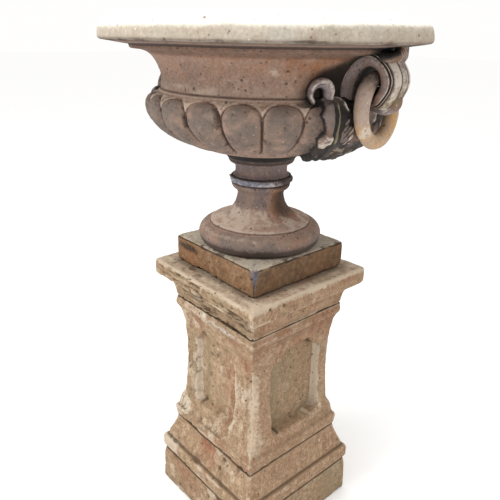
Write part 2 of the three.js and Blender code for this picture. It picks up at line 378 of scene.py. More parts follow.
URN = clay("urn_clay", (0.312, 0.210, 0.160), (0.345, 0.226, 0.168), (0.250, 0.177, 0.142), pale=(0.48, 0.38, 0.305), dirt=(0.045, 0.030, 0.024),
           warm=(0.27, 0.130, 0.070), moss=(0.122, 0.101, 0.086), cool=(0.150, 0.114, 0.110), ragged=1.0, soft=0.32)
RIM = clay("rim_clay", (0.40, 0.340, 0.267), (0.445, 0.385, 0.312), (0.345, 0.286, 0.218), pale=(0.90, 0.87, 0.78), dirt=(0.10, 0.068, 0.050),
           warm=(0.32, 0.20, 0.14), moss=(0.33, 0.29, 0.235), cool=(0.42, 0.40, 0.36), contrast=0.13, grain=0.07, pit=0.35, fleck=0.2, ragged=0.7, soft=0.40)
PED = clay("pedestal_clay", (0.335, 0.228, 0.140), (0.290, 0.190, 0.113), (0.370, 0.262, 0.170), pale=(0.52, 0.425, 0.315), dirt=(0.085, 0.052, 0.030),
           warm=(0.255, 0.118, 0.066), moss=(0.235, 0.180, 0.105), cool=(0.60, 0.54, 0.49), blotch=60, contrast=0.30, grain=0.2, ragged=1.2, soft=0.30)
BLOCK = clay("block_clay", (0.195, 0.115, 0.062), (0.140, 0.082, 0.043), (0.25, 0.160, 0.09), pale=(0.44, 0.38, 0.30), dirt=(0.030, 0.020, 0.014),
             warm=(0.23, 0.115, 0.052), moss=(0.31, 0.255, 0.195), cool=(0.15, 0.15, 0.19), contrast=0.3)
DARK = clay("handle_clay", (0.165, 0.120, 0.100), (0.200, 0.148, 0.125), (0.110, 0.080, 0.068), pale=(0.58, 0.50, 0.43), dirt=(0.020, 0.014, 0.011),
            warm=(0.24, 0.125, 0.065), moss=(0.190, 0.155, 0.075), cool=(0.27, 0.225, 0.225), contrast=0.22, grain=0.10, rough=0.74, spec=0.4, pit=0.3, fleck=0.4)
BUFF = clay("ring_clay", (0.41, 0.300, 0.208), (0.465, 0.358, 0.26), (0.325, 0.235, 0.165), pale=(0.62, 0.52, 0.42), dirt=(0.055, 0.038, 0.03),
            warm=(0.48, 0.285, 0.125), moss=(0.110, 0.090, 0.082), cool=(0.37, 0.30, 0.275), contrast=0.12, grain=0.09, pit=0.25, fleck=0.3, rough=0.8)
MORTAR = clay("mortar", (0.20, 0.165, 0.160), (0.15, 0.115, 0.115), (0.28, 0.25, 0.25), pale=(0.50, 0.49, 0.50), dirt=(0.05, 0.035, 0.03),
              warm=(0.30, 0.16, 0.11), moss=(0.13, 0.14, 0.08), cool=(0.20, 0.205, 0.25), contrast=0.4)


def masks(shape, **given):
    out = {k: np.zeros(shape) for k in KEYS}
    for k, v in given.items():
        out[k] = np.broadcast_to(v, shape)
    return out


def clip_masks(m):
    return {k: np.clip(v, 0, 1) for k, v in m.items()}


# ------------------------------------------------------------------ pedestal courses
STEP = 2.8


def spot(x, z, cx, cz, wx, wz):
    return np.exp(-(((x - cx) / wx) ** 2 + ((z - cz) / wz) ** 2))


def band(x, a, b, soft):
    """1 between a and b, with soft ends."""
    return sstep(a - soft, a + soft, x) * sstep(b + soft, b - soft, x)


def course(name, outer, inner, rho, body, material, sigma=2.0, extra=None, step=None, seed=1, replaces=None, chamfer=None, rough_=1.0):
    step = step or STEP
    prof, flag = loop_profile(outer, inner, step, 30.0, sigma)
    half = max(p[0] for p in outer)
    P, NX, NY, along, corner = square_grid(prof, rho, int(2 * half / step), 8, chamfer)
    f = np.broadcast_to(flag[None, :], P.shape[:2])
    n = closed_normals(P)
    if ((P[..., 0] * n[..., 0] + P[..., 1] * n[..., 1]) * f).sum() < 0:
        n = -n
    left = np.clip(-NY, 0, 1) ** 2                     # the side towards -Y is the more eroded one
    rough = rough_ * (0.30 + 1.0 * left + 0.3 * np.clip(-NX, 0, 1) ** 2)
    hole = pits(P, 24, 0.35, seed + 9)
    d = -1.1 * (0.5 + 0.5 * fbm(P, 60, 3, seed)) * rough
    d = d - 1.3 * rough * np.abs(fbm(P, 14, 4, seed + 5))
    d = d - 2.4 * rough * hole - 1.5 * (0.3 + left) * pits(P, 11, 0.3, seed + 19)
    t = np.roll(prof, -2, 0) - prof
    s = prof - np.roll(prof, 2, 0)
    sharp = np.clip(np.abs(np.arctan2(s[:, 0] * t[:, 1] - s[:, 1] * t[:, 0], (s * t).sum(1))) / 0.9, 0, 1) * flag
    sign = np.sign(s[:, 0] * t[:, 1] - s[:, 1] * t[:, 0])
    convex = np.where(sign > 0, sharp, 0)[None, :]
    concave = np.where(sign < 0, sharp, 0)[None, :]
    chips = sstep(0.05, 0.55, fbm(P, 38, 4, seed + 2)) + 0.6 * sstep(0.2, 0.6, fbm(P, 15, 3, seed + 3))
    d = d - 3.0 * convex * chips * (0.4 + rough)
    cnr = np.exp(-corner / 7.0)
    d = d - 2.6 * cnr * chips * (0.5 + 0.6 * rough)
    # the hollows of the mouldings are darkened partly as painted shade, with real dirt
    m = masks(P.shape[:2],
              dirt=0.50 * concave + 0.4 * hole * rough + 0.28 * sstep(0.1, 0.5, fbm(P, 34, 4, seed + 11)) * (0.35 + left),
              pale=0.40 * convex + 0.30 * cnr + 0.45 * sstep(0.0, 0.45, fbm(P, 50, 4, seed + 12)) * (0.5 + 0.5 * left),
              warm=sstep(0.05, 0.5, fbm(P, (70, 70, 150), 4, seed + 13)) * 0.5 * (0.6 + 0.6 * left),
              moss=sstep(0.1, 0.5, fbm(P, 60, 4, seed + 14)) * 0.35)
    if extra:
        d, m = extra(P, NX, NY, along, corner, prof, f, d, m)
    P = P + n * (d * f)[..., None]
    return mesh_from(name, P.reshape(-1, 3), grid_faces(P.shape[0], P.shape[1]), clip_masks(m), material, body, [replaces or name])


def faces_of(NX, NY):
    """1 on the side towards -Y, and 1 on the side towards +X."""
    return (NY < -0.7).astype(float), (NX > 0.7).astype(float)


def plinth_extra(P, NX, NY, along, corner, prof, f, d, m):
    z = P[..., 2]
    L, R = faces_of(NX, NY)
    m["dirt"] = m["dirt"] + 0.35 * (1 - sstep(0, 30, z)) + 0.9 * sstep(103, 109, z)
    m["warm"] = m["warm"] + 0.25 * R + 0.35 * L * sstep(40, 80, z)
    m["moss"] = m["moss"] + 0.35 + 0.25 * R * sstep(60, 100, P[..., 1])
    return d, m


course("plinth", [[158, 0], [194, 0], [193, 40], [191.5, 84], [190, 98], [186.5, 109.7], [154, 109.7]],
       [[150, 109.0], [154, 1.0]], 13, "pedestal", PED, sigma=3.0, extra=plinth_extra, seed=11, replaces="pedestal_plinth")


def base_extra(P, NX, NY, along, corner, prof, f, d, m):
    z, x = P[..., 2], P[..., 0]
    L, R = faces_of(NX, NY)
    m["dirt"] = m["dirt"] + 0.9 * (1 - sstep(110, 114, z)) + 0.9 * sstep(224, 229, z) + 0.3 * band(z, 152, 160, 2)
    # the sheltered ends of the mouldings stay pale on the far part of the eroded side
    fresh = L * band(x, -200, -118, 8) * band(z, 116, 158, 4)
    m["cool"] = m["cool"] + 1.0 * fresh
    m["pale"] = m["pale"] * (1 - 0.5 * fresh) + 0.55 * fresh
    m["moss"] = m["moss"] + 0.4 * L * band(z, 113, 124, 3) * sstep(-110, -60, x)
    m["warm"] = m["warm"] + 0.25 * R + 0.5 * L * spot(x, z, -10, 218, 70, 14)
    m["pale"] = m["pale"] + 0.9 * R * spot(P[..., 1], z, 96, 205, 4, 4)
    return d, m


course("base_moulding", [[152, 110], [186.5, 110], [191.5, 121], [191.5, 146], [189, 152], [181, 156], [179, 160], [177.5, 172], [171, 186], [165, 202],
                         [161, 214], [158.5, 229.7], [126, 229.7]],
       [[123, 229.0], [124, 206], [150, 160], [150, 111.0]], 9, "pedestal", PED, sigma=1.5, extra=base_extra, seed=21, replaces="pedestal_base_moulding")

# the waisted shaft: sunken panel with canted corners on each side, stopped chamfers on the corners
PANEL = [(-74, 316), (-88, 330), (-88, 488), (-66, 508), (-50, 530), (50, 530), (66, 508), (88, 488), (88, 330), (74, 316)]
PANEL_RIGHT = [(-40, 299), (-72, 312), (-72, 495), (-45, 512), (-19, 538), (48, 538), (68, 516), (97, 503), (97, 322), (62, 299)]
PANEL_LEFT = [(-70, 318), (-86, 335), (-86, 500), (-62, 532), (46, 532), (64, 505), (70, 470), (72, 335), (56, 312)]


def signed_distance(x, y, poly):
    """Distance to a polygon's outline, negative inside."""
    d = np.full(x.shape, 1e9)
    inside = np.zeros(x.shape, bool)
    n = len(poly)
    for i in range(n):
        ax, ay = poly[i]
        bx, by = poly[(i + 1) % n]
        ex, ey = bx - ax, by - ay
        t = np.clip(((x - ax) * ex + (y - ay) * ey) / (ex * ex + ey * ey), 0, 1)
        d = np.minimum(d, np.hypot(x - ax - t * ex, y - ay - t * ey))
        cond = ((ay > y) != (by > y)) & (x < (bx - ax) * (y - ay) / ((by - ay) if by != ay else 1e-9) + ax)
        inside ^= cond
    return np.where(inside, -d, d)


def shaft_extra(P, NX, NY, along, corner, prof, f, d, m):
    z = P[..., 2]
    L, R = faces_of(NX, NY)
    half = np.maximum(np.abs(P[..., 0]), np.abs(P[..., 1]))
    wob = 1.2 * fbm(P, 18, 3, 400)
    sd = np.where(R > 0, signed_distance(along, z, PANEL_RIGHT), np.where(L > 0, signed_distance(along, z, PANEL_LEFT) + 2.5 * wob, signed_distance(along, z, PANEL))) + wob
    inside = sstep(1.0, -4.0, sd)
    # the panel's floor is flat and upright, so the sinking grows where the shaft flares
    sink = np.clip(half - 117.5, 8, 40)
    soft = L * 0.25
    on_side = corner > 8
    d = np.where(on_side, d * (1 - 0.4 * inside) - sink * inside * (1 - soft), d)
    d = d + 1.2 * np.exp(-((sd - 3.5) / 3.0) ** 2) * on_side * R
    # painted light on the sunken panels: the far reveal walls are paled and greyed as painted highlight, and the floor
    # and edge by the near reveal are darkened and tinted olive as painted shadow
    wall = np.exp(-((sd + 1.5) / 3.6) ** 2) * on_side
    far = np.where(R > 0, sstep(70, 84, along), np.where(L > 0, sstep(-62, -76, along), 0))
    near = np.where(R > 0, sstep(-52, -62, along), np.where(L > 0, sstep(52, 62, along), 0))
    m["cool"] = m["cool"] + 1.3 * wall * far * band(z, 318, 500, 10)
    m["pale"] = m["pale"] + wall * far * band(z, 322, 496, 10) * (0.75 + 0.3 * L)
    m["dirt"] = m["dirt"] + 0.35 * np.exp(-((sd + 5.0) / 4.0) ** 2) * on_side * (1 - far) * (0.6 + 0.9 * near) * (1 - 0.8 * R * sstep(345, 322, z)) + 0.75 * R * np.exp(-((sd + 1.5) / 2.4) ** 2) * on_side * (1 - far) * sstep(322, 345, z)
    m["moss"] = m["moss"] + 0.95 * inside * R * sstep(-10, -72, along) + 0.45 * inside * R + 0.8 * L * band(along, -62, -44, 5) * band(z, 320, 520, 20) + 0.5 * L * band(along, -120, -92, 5) * band(z, 300, 560, 20)
    # deep erosion of the side towards -Y
    r = np.abs(fbm(P, (34, 34, 55), 5, 404))
    worn = L * sstep(-0.25, 0.2, fbm(P, 95, 3, 405))
    tilt = np.abs(fbm(P @ np.array([[0.85, 0, 0.5], [0, 1, 0], [-0.5, 0, 0.85]]), (14, 14, 46), 4, 407))
    d = d - worn * (2.6 * np.clip(0.30 - r, 0, 1) / 0.30 + 2.4 * np.clip(0.22 - tilt, 0, 1) / 0.22 + 1.6 * pits(P, 17, 0.5, 406))
    m["dirt"] = m["dirt"] * (1 - 0.4 * L) + worn * 0.30 * np.clip(0.16 - tilt, 0, 1) / 0.16
    m["pale"] = m["pale"] + worn * 0.5 * sstep(0.22, 0.5, r)
    x, y = P[..., 0], P[..., 1]
    # red-brown stain and patches, knot hole and dark hollows of that side
    wave = 8 * vnoise(P, 40, 7)
    m["warm"] = m["warm"] + L * (1.25 * band(x - 1.6 * wave, 28, 66, 20) * band(z, 285, 520, 25) * (0.55 + 0.9 * fbm(P, 26, 3, 410)) + 1.7 * spot(x, z, 114, 524, 20, 22) + 0.8 * spot(x, z, 92, 575, 40, 16)
                                 + 0.7 * spot(x, z, -98, 543, 24, 16) + 0.5 * spot(x, z, 30, 250, 60, 10))
    m["pale"] = m["pale"] * (1 - 0.6 * L * band(x - wave, 34, 62, 14)) * (1 - 0.9 * L * np.clip(spot(x, z, 114, 524, 26, 30), 0, 1)) + L * (0.31 * band(x, 74, 200, 14) * band(z, 262, 478, 26) * (0.7 + 0.8 * vnoise(P, (9, 9, 60), 8))
                                                                             + 0.5 * band(x, 62, 76, 4) * band(z, 300, 500, 20))
    k = L * spot(x, z, -53, 527, 8, 9)
    k2 = L * spot(x, z, -60, 322, 8, 15)
    d = d - 7 * k - 4 * k2
    m["dirt"] = m["dirt"] + 1.0 * k + 0.55 * k2 + 0.9 * (1 - sstep(230, 233, z)) + 0.6 * sstep(607, 611, z) + 0.25 * (L + R) * band(z, 262, 270, 3)
    m["cool"] = m["cool"] + 1.2 * L * spot(x, z, -32, 600, 9, 8) + 0.9 * L * spot(x, z, 40, 592, 60, 6)
    fresh = L * band(x, -170, -106, 8) * band(z, 256, 300, 6)
    m["cool"] = m["cool"] + fresh
    m["pale"] = m["pale"] + 0.55 * fresh
    m["dirt"] = m["dirt"] + R * (1.0 * spot(y, z, -56, 305, 6, 6) + 0.5 * band(z, 560, 585, 6) * 0.5)
    m["pale"] = m["pale"] + R * (0.9 * spot(y, z, 64, 303, 4, 4) + 0.9 * spot(y, z, 106, 312, 5, 5) + 0.35 * band(y, -200, -106, 8) * band(z, 270, 500, 20))
    m["warm"] = m["warm"] + R * (0.45 * sstep(500, 560, z) + 0.25)
    # dark specks by the corner towards the camera
    m["dirt"] = m["dirt"] + L * (spot(x, z, 122, 478, 3, 3) + spot(x, z, 112, 420, 3, 3) + 0.8 * spot(x, z, 96, 250, 3, 3))
    return d, m


course("shaft", [[126, 230], [158.5, 230], [160.5, 246], [162, 254], [161, 262], [156, 269], [153.5, 273], [153, 279], [149.5, 295], [146.5, 312], [139, 366],
                 [134.5, 419], [134.5, 473], [137.5, 533], [142.5, 565], [147, 578], [151, 583], [152.5, 588], [154, 593], [153, 599], [151.5, 602], [152, 611.7], [118, 611.7]],
       [[112, 611], [100, 533], [100, 366], [122, 231]], 4, "pedestal", PED, sigma=1.4, extra=shaft_extra, seed=31, replaces="pedestal_shaft",
       step=2.7, chamfer=(296, 515, 15))


def cap_extra(P, NX, NY, along, corner, prof, f, d, m):
    z, y, x = P[..., 2], P[..., 1], P[..., 0]
    L, R = faces_of(NX, NY)
    top = sstep(710, 713, z)
    # the band under the slab's overhang is darkened as painted shadow
    m["dirt"] = m["dirt"] + 0.75 * band(z, 662, 671, 2) + 0.25 * band(z, 612, 626, 5) + top * 0.45 * sstep(172, 150, np.maximum(np.abs(x), np.abs(y)))
    # long level fissures on the eroded side
    fis = np.clip(0.16 - np.abs(fbm(P, (75, 75, 9), 4, 441)), 0, 1) / 0.16 * L * (1 - top)
    fis = fis * sstep(-0.35, 0.1, fbm(P, 60, 3, 442))
    d = d - 4.0 * fis
    m["dirt"] = m["dirt"] + 0.75 * fis
    m["pale"] = m["pale"] + 0.35 * L * sstep(0.2, 0.5, np.abs(fbm(P, (60, 60, 12), 4, 443))) + 0.15 * top + 0.30 * band(z, 702, 714, 4)
    m["cool"] = m["cool"] + 0.20 * top
    m["moss"] = m["moss"] + 0.45 * L * (1 - top) + 0.25 * R * sstep(60, 100, y)
    for (yy, zz, r) in ((-135, 703, 3.4), (-93.5, 700, 3.0)):
        k = R * spot(y, z, yy, zz, r, r)
        d = d - 6 * k
        m["dirt"] = m["dirt"] + 1.3 * k
    m["pale"] = m["pale"] + 0.9 * R * spot(y, z, 37, 704, 5, 4)
    m["warm"] = m["warm"] + R * (0.3 + 0.6 * spot(y, z, 120, 700, 50, 10)) + 0.5 * L * spot(x, z, -150, 690, 20, 16) + 0.25 * band(z, 640, 668, 6) * R
    return d, m


course("cap", [[118, 612], [152, 612], [153, 624], [155.5, 640], [161, 654], [169, 663], [175, 668], [186, 670], [189.5, 674], [189.5, 709], [186, 713.7], [100, 713.7], [64, 713.7]],
       [[60, 713.0], [60, 684], [128, 676], [112, 613]], 7, "pedestal", PED, sigma=2.2, extra=cap_extra, seed=41, replaces="pedestal_cap")


def block_extra(P, NX, NY, along, corner, prof, f, d, m):
    z, x, y = P[..., 2], P[..., 0], P[..., 1]
    L, R = faces_of(NX, NY)
    top = sstep(777, 780, z)
    m["moss"] = np.clip(1.2 * top + 0.25 * m["moss"], 0, 1)
    m["pale"] = m["pale"] * 0.35 * (1 - top) + top * (0.50 + 0.25 * sstep(0, 0.4, fbm(P, 30, 4, 451)))
    # the corner towards the camera has lost a chip, wide at the top and pointed below
    a = np.arctan2(P[..., 1], P[..., 0])
    w = 0.006 + 0.055 * sstep(722, 775, z) ** 1.3
    k = np.clip(1 - np.abs(a + math.pi / 4) / w, 0, 1) * sstep(716, 726, z)
    d = d - 8 * k ** 0.6 * (1 - top)
    chip = sstep(0.02, 0.2, k)
    m["cool"] = m["cool"] + 1.5 * chip
    m["moss"] = m["moss"] * (1 - 0.8 * chip)
    edge = band(z, 775.5 + 2.5 * vnoise(P, 22, 452), 783, 1) * (1 - top) * (1 - chip)
    # the right face is darkened as painted shade, and so is the left face low down towards its far end
    m["soot"] = m["soot"] + 0.36 * R * (1 - top) + 0.25 * (1 - top) * sstep(738, 716, z) * L * sstep(40, -140, x)
    m["dirt"] = 0.5 * m["dirt"] * (1 - top) + 0.8 * edge + 0.9 * (1 - sstep(714, 719, z)) + 0.6 * L * spot(x, z, -100, 760, 60, 14) * (1 - top)
    m["warm"] = m["warm"] + 0.45 * (L + R) * (1 - top) * (1 - chip)
    rim_dark = top * sstep(20, 4, 146.5 - np.maximum(np.abs(x), np.abs(y))) * sstep(0.1, 0.4, fbm(P, 26, 3, 453))
    m["dirt"] = m["dirt"] + 0.5 * rim_dark + 0.55 * top * sstep(150, 140, np.hypot(x, y)) * sstep(118, 128, np.hypot(x, y)) * 0
    return d, m


course("square_block", [[122, 714.3], [144, 714.3], [146.5, 719], [146.5, 775], [143.5, 780.4], [110, 780.7], [74, 780.7]],
       [[70, 780.2], [110, 760], [120, 715]], 6, "urn", BLOCK, sigma=2.0, extra=block_extra, seed=51, replaces="urn_square_block", rough_=0.8)


# ------------------------------------------------------------------ turned pieces
def turned(name, outer, inner, angles, body, material, replaces, step=2.5, sigma=1.5, shape=None, coarse=12.0):
    prof, flag = loop_profile(outer, inner, step, coarse, sigma)
    A, R = np.meshgrid(angles, prof[:, 0], indexing="ij")
    Z = np.broadcast_to(prof[:, 1][None, :], A.shape).copy()
    F = np.broadcast_to(flag[None, :], A.shape)
    R, Z, m = shape(A, R.copy(), Z, F, prof, masks(A.shape))
    P = np.stack([R * np.cos(A), R * np.sin(A), Z], -1)
    return mesh_from(name, P.reshape(-1, 3), grid_faces(*P.shape[:2]), clip_masks(m), material, body, replaces)


def round_angles(n):
    return np.linspace(0, 2 * math.pi, n, endpoint=False)


def to_right(A):
    """-1 at the camera's left, 1 at its right."""
    return np.sin(A - CAM_AZ)


def socle_shape(A, R, Z, F, prof, m):
    P = np.stack([R * np.cos(A), R * np.sin(A), Z], -1)
    n1, n2 = fbm(P, 45, 4, 61), fbm(P, 12, 4, 62)
    chip = sstep(0.15, 0.5, fbm(P, 30, 4, 64))
    line = bump(Z, 831.6 + 0.4 * n1, 1.3) * (R > 95)
    d = -0.8 * (0.5 + 0.5 * n1) - 0.8 * np.abs(n2) - 1.6 * pits(P, 15, 0.25, 63) - 1.0 * chip * bump(Z, 830, 4) - 0.9 * line
    R = R + d * F
    r = to_right(A)
    torus = band(Z, 781, 829, 2)
    foot = band(Z, 833, 870, 8)
    # painted light and shade: the stem's side to the camera's right is darkened and warmed as painted shade, the
    # torus's lower half is darkened and greyed as painted shade, and the foot's left side and the torus's upper left
    # are paled as painted highlight
    m["dirt"] = 0.95 * line + 0.60 * sstep(0.25, 0.8, r) * band(Z, 850, 925, 12) + 0.6 * sstep(790, 781, Z) + 0.6 * sstep(918, 925, Z) + 0.12 * sstep(0.1, 0.5, n1) + 0.82 * torus * sstep(811, 790, Z)
    m["warm"] = 1.4 * sstep(0.2, 0.7, r) * band(Z, 850, 925, 12) + 0.35 * sstep(-0.1, 0.4, fbm(P, 60, 3, 65)) + 0.3 * sstep(0.1, 0.7, r) * torus
    m["moss"] = 0.55 * sstep(-0.1, -0.8, r) * band(Z, 850, 925, 12) + 0.15 * sstep(0, 0.4, n1) + (0.35 + 0.5 * sstep(-0.2, 0.4, n1)) * torus
    m["cool"] = (0.8 * sstep(0.45, 0.0, np.abs(r)) * band(Z, 872, 925, 8) + 0.35 * band(Z, 872, 925, 8) + 0.9 * torus * sstep(816, 800, Z) + 0.35 * sstep(0, 0.4, fbm(P, 26, 4, 66)))
    m["pale"] = (0.5 * foot * (0.9 + 0.5 * n2) * sstep(0.9, -0.5, r) + 0.5 * foot * sstep(0.0, 0.4, fbm(P, 20, 4, 67)) + 0.35 * bump(Z, 834.5, 2.0) + 0.2 * bump(Z, 845, 3.0) * (R > 90)
                 + 0.30 * torus * bump(Z, 822, 5) * sstep(0.7, -0.4, r) + 0.12 * sstep(-0.1, 0.5, n2))
    return R, Z, m


turned("socle", [[118, 781], [138, 781], [145, 789], [148.5, 799], [148.5, 807], [145, 816], [138, 823], [130, 827], [124.5, 828.5], [122.5, 830.5], [122, 832.5], [118, 834.5], [108, 838],
                 [90, 845], [76, 852.5], [67, 863], [60.5, 875], [57, 887], [55.5, 897], [57, 904], [61, 909], [66, 912], [69, 916], [71, 925.7], [40, 925.7]],
       [[24, 925.0], [22, 900], [34, 860], [80, 820], [112, 795], [116, 782]], round_angles(320), "urn", URN, ["urn_socle"],
       step=2.4, shape=socle_shape, sigma=1.1)


def mortar_shape(A, R, Z, F, prof, m):
    P = np.stack([R * np.cos(A), R * np.sin(A), Z], -1)
    n = fbm(P, 16, 4, 71)
    r = to_right(A)
    lump = sstep(-0.1, 0.6, n) * (3.0 + 3.5 * sstep(0.2, -0.9, r)) - 1.8 * np.abs(fbm(P, 7, 3, 72)) - 1.0
    R = R + lump * F * sstep(60, 68, R)
    # the mortar's side to the camera's right is darkened as painted shade, and its left side is paled and greyed as
    # painted light
    m["dirt"] = 0.9 * sstep(937, 941, Z) + 0.5 * sstep(930, 926, Z) + 0.9 * sstep(0.45, 0.9, r)
    m["pale"] = (0.30 * sstep(0.0, -0.8, r) + 0.42 * bump(Z, 930, 4) * sstep(-0.6, 0.0, r) + 0.25 * sstep(0, 0.5, n)) * sstep(0.9, 0.3, r)
    m["cool"] = 0.9 * sstep(0.5, -0.3, r)
    m["moss"] = 0.7 * sstep(-0.6, -0.95, r) * sstep(0.0, 0.3, n)
    return R, Z, m


turned("mortar_bed", [[40, 926], [71, 926], [74, 930], [74, 936], [71, 941.7], [40, 941.7]], [[23, 941], [23, 927]], round_angles(180), "urn", MORTAR, ["stem_mortar_bed"],
       step=1.6, shape=mortar_shape, sigma=1.2)

# ------------------------------------------------------------------ bowl
S_TOP, S_BOT = -103.5, -234.5


def bowl_shape(A, R, Z, F, prof, m):
    z = Z - Z_RIM
    P = np.stack([R * np.cos(A), R * np.sin(A), Z], -1)
    deg = np.degrees(A - CAM_AZ)
    deg = (deg + 180) % 360 - 180                      # degrees to the camera's right
    r_ = to_right(A)
    # distance down the outline from the top of the lobes, in mm
    seg = np.concatenate([[0], np.cumsum(np.linalg.norm(np.diff(prof, axis=0), axis=1))])
    zz = prof[:, 1] - Z_RIM
    nf = int(F[0].sum())
    outer_i = np.where((zz < S_TOP) & (zz > S_BOT) & (prof[:, 0] > 104) & (np.arange(len(prof)) < nf))[0]
    s_hi = seg[outer_i].max()
    S = np.broadcast_to((s_hi - seg)[None, :], A.shape)
    on = np.zeros(len(prof))
    on[outer_i] = 1
    ON = np.broadcast_to(on[None, :], A.shape)
    pitch = 2 * math.pi / LOBES
    rel = ((A - LOBE_AZ) / pitch) % 1.0
    which = np.floor((A - LOBE_AZ) / pitch + 1e-6).astype(np.int64)
    x = (rel - 0.5) * 2                                # -1..1 across a lobe
    jit = _hash(which, which * 0, which * 0, 5) - 0.5
    g = np.where(S < 54 + 4 * jit, (54 + 4 * jit - S) / 50, np.where(S > 171, (S - 171) / 43, 0))
    rho = np.sqrt((x / 0.965) ** 2 + np.abs(g) ** np.where(S < 100, 2.1, 2.2))
    D = (8.0 + 8.0 * sstep(205, 95, S)) * (0.32 + 0.68 * sstep(0, 55, S))
    lobe = -D * (1 - np.sqrt(np.clip(1 - np.clip(rho, 0, 1) ** 2.2, 0, 1)))
    outside = np.where(rho < 1.035, -D, -0.66 * D) + 1.0 * np.exp(-((rho - 1.11) / 0.05) ** 2)
    outside = outside + (-D * 0.34) * sstep(1.08, 1.02, rho) * (rho >= 1.035)
    h = np.where(rho < 1, lobe, outside)
    fade = sstep(-1, 3, S) * sstep(215, 209, S)
    h = h * ON * fade
    n1, n2, n3 = fbm(P, 55, 4, 81), fbm(P, 14, 4, 82), fbm(P, 30, 4, 83)
    neck = F * sstep(-99, -95, z) * sstep(-24, -30, z) * (R < 262)
    ridges = vnoise(np.stack([z * 0 + 1, A * 30, z], -1), (1, 90, 5.5), 88)
    d = (-0.6 * (0.5 + 0.5 * n1) - 0.6 * np.abs(n2) - 1.0 * pits(P, 16, 0.22, 84) * sstep(5, -10, z)) * F + 0.35 * ridges * neck
    # cut marks on the neck
    mark = neck * np.exp(-(((deg - 4.5) / 2.8) ** 2 + ((z + 54) / 9) ** 2))
    d = d - 1.6 * mark * np.abs(fbm(P, 9, 3, 89))
    t = np.roll(prof, -1, 0) - np.roll(prof, 1, 0)
    t = t / np.maximum(np.linalg.norm(t, axis=1, keepdims=True), 1e-6)
    NR, NZ = np.broadcast_to(t[:, 1], A.shape), np.broadcast_to(-t[:, 0], A.shape)
    # worn lower edge of the rim, with one long shallow chip
    edge = np.exp(-(((R - 349) / 6) ** 2 + ((z - 0) / 4) ** 2)) * F
    chip = sstep(0.02, 0.5, fbm(P, 42, 4, 85)) * 2.6 + sstep(0.2, 0.6, fbm(P, 14, 3, 86)) * 1.8 + 3.5 * band(deg, 6.5, 17, 1.0)
    d = d - edge * chip
    soft_rim = F * sstep(4, 12, z) * sstep(330, 340, R)
    d = d - soft_rim * 1.3 * np.clip(fbm(P, 46, 3, 90), 0, 1)
    crack = np.exp(-((deg - 44 - 0.35 * vnoise(np.stack([Z * 0, Z * 0, Z], -1), 9, 87)) * 6.1 / 1.2) ** 2) * sstep(-6, 2, z) * F
    d = d - 1.6 * crack + h
    R2, Z2 = R + NR * d, Z + NZ * d
    # the rim's lower edge hangs a little on the camera's left
    Z2 = Z2 - 2.2 * sstep(-0.5, -1.0, r_) * sstep(12, 0, z) * F * (R > 284)
    # masks
    rim = sstep(-2, 1, z) * (R > 284)
    groove = ON * fade * np.exp(-((rho - 1.02) / 0.030) ** 2)
    bead = ON * fade * np.exp(-((rho - 1.11) / 0.05) ** 2)
    lobe_in = ON * fade * (rho < 1)
    span = ON * fade * sstep(1.05, 1.09, rho) * sstep(60, 20, S)
    inside = (1 - F)
    slope = F * band(z, -8.5, -0.5, 0.8) * (R > 300)
    fillet = F * band(z, -19, -9.5, 0.8) * (R > 282) * (R < 300)
    step_ = F * band(z, -26, -20.5, 0.8) * (R > 252)
    mid = sstep(0.92, 0.30, rho) * lobe_in
    # painted shade: the lobe grooves are darkened with dirt, each lobe gets a dark ring inside its edge that is heavier
    # on its right, and the neck top, the rim's underside slope and the step line under the rim are darkened as the
    # rim's shadow; the collar under the lobes is darkened as shadow too
    m["dirt"] = (0.95 * groove * (0.75 + 0.35 * n3) + 0.75 * bump(z, -98.5, 1.8) * F + 0.35 * F * band(z, -30, -10, 3) * (R < 300)
                 + 0.42 * slope * (0.8 + 0.5 * n3) * (1 - bump(R, 320, 7)) + 0.4 * slope * sstep(-0.2, 0.4, n3) * sstep(335, 347, R) + 1.0 * F * band(z, -10.6, -7.6, 0.6) * (R > 286) * (R < 312) + 0.42 * lobe_in * np.exp(-((rho - 1) / 0.16) ** 2) * (0.55 + 0.45 * sstep(-0.3, 0.5, x)) + 0.8 * sstep(-250, -256, z) * F * sstep(-262, -258, z)
                 + 0.6 * inside * sstep(35, 10, z) + 0.8 * crack + 0.34 * lobe_in * sstep(0.05, 0.5, fbm(P, (12, 12, 34), 4, 108)) + 0.75 * F * band(z, -246, -231, 2) * (R < 118) * (R > 60)
                 + rim * F * (0.55 * edge + 0.30 * sstep(0.15, 0.5, n3) * sstep(20, 2, z)))
    # stain drips under the worn edge, on the rim's lower face
    drip = rim * F * band(deg, -20, -6.5, 1.2) * sstep(20, 6, z) * sstep(-0.15, 0.35, fbm(np.stack([A * 330, Z * 0.25, Z * 0], -1), 12, 4, 101))
    m["dirt"] = m["dirt"] + 0.5 * drip * sstep(-0.1, 0.3, fbm(P, 7, 3, 107)) + 0.7 * rim * inside * sstep(36, 44, z)
    # painted shadow: the collar under the lobes, the rim's underside slope and the fillet under the rim are blacked
    m["soot"] = m["soot"] + 0.80 * F * band(z, -252, -234.5, 2) * (R < 106) * (R > 74) + 0.38 * slope + 0.30 * F * band(z, -27, -9, 2) * (R > 248) * (R < 300)
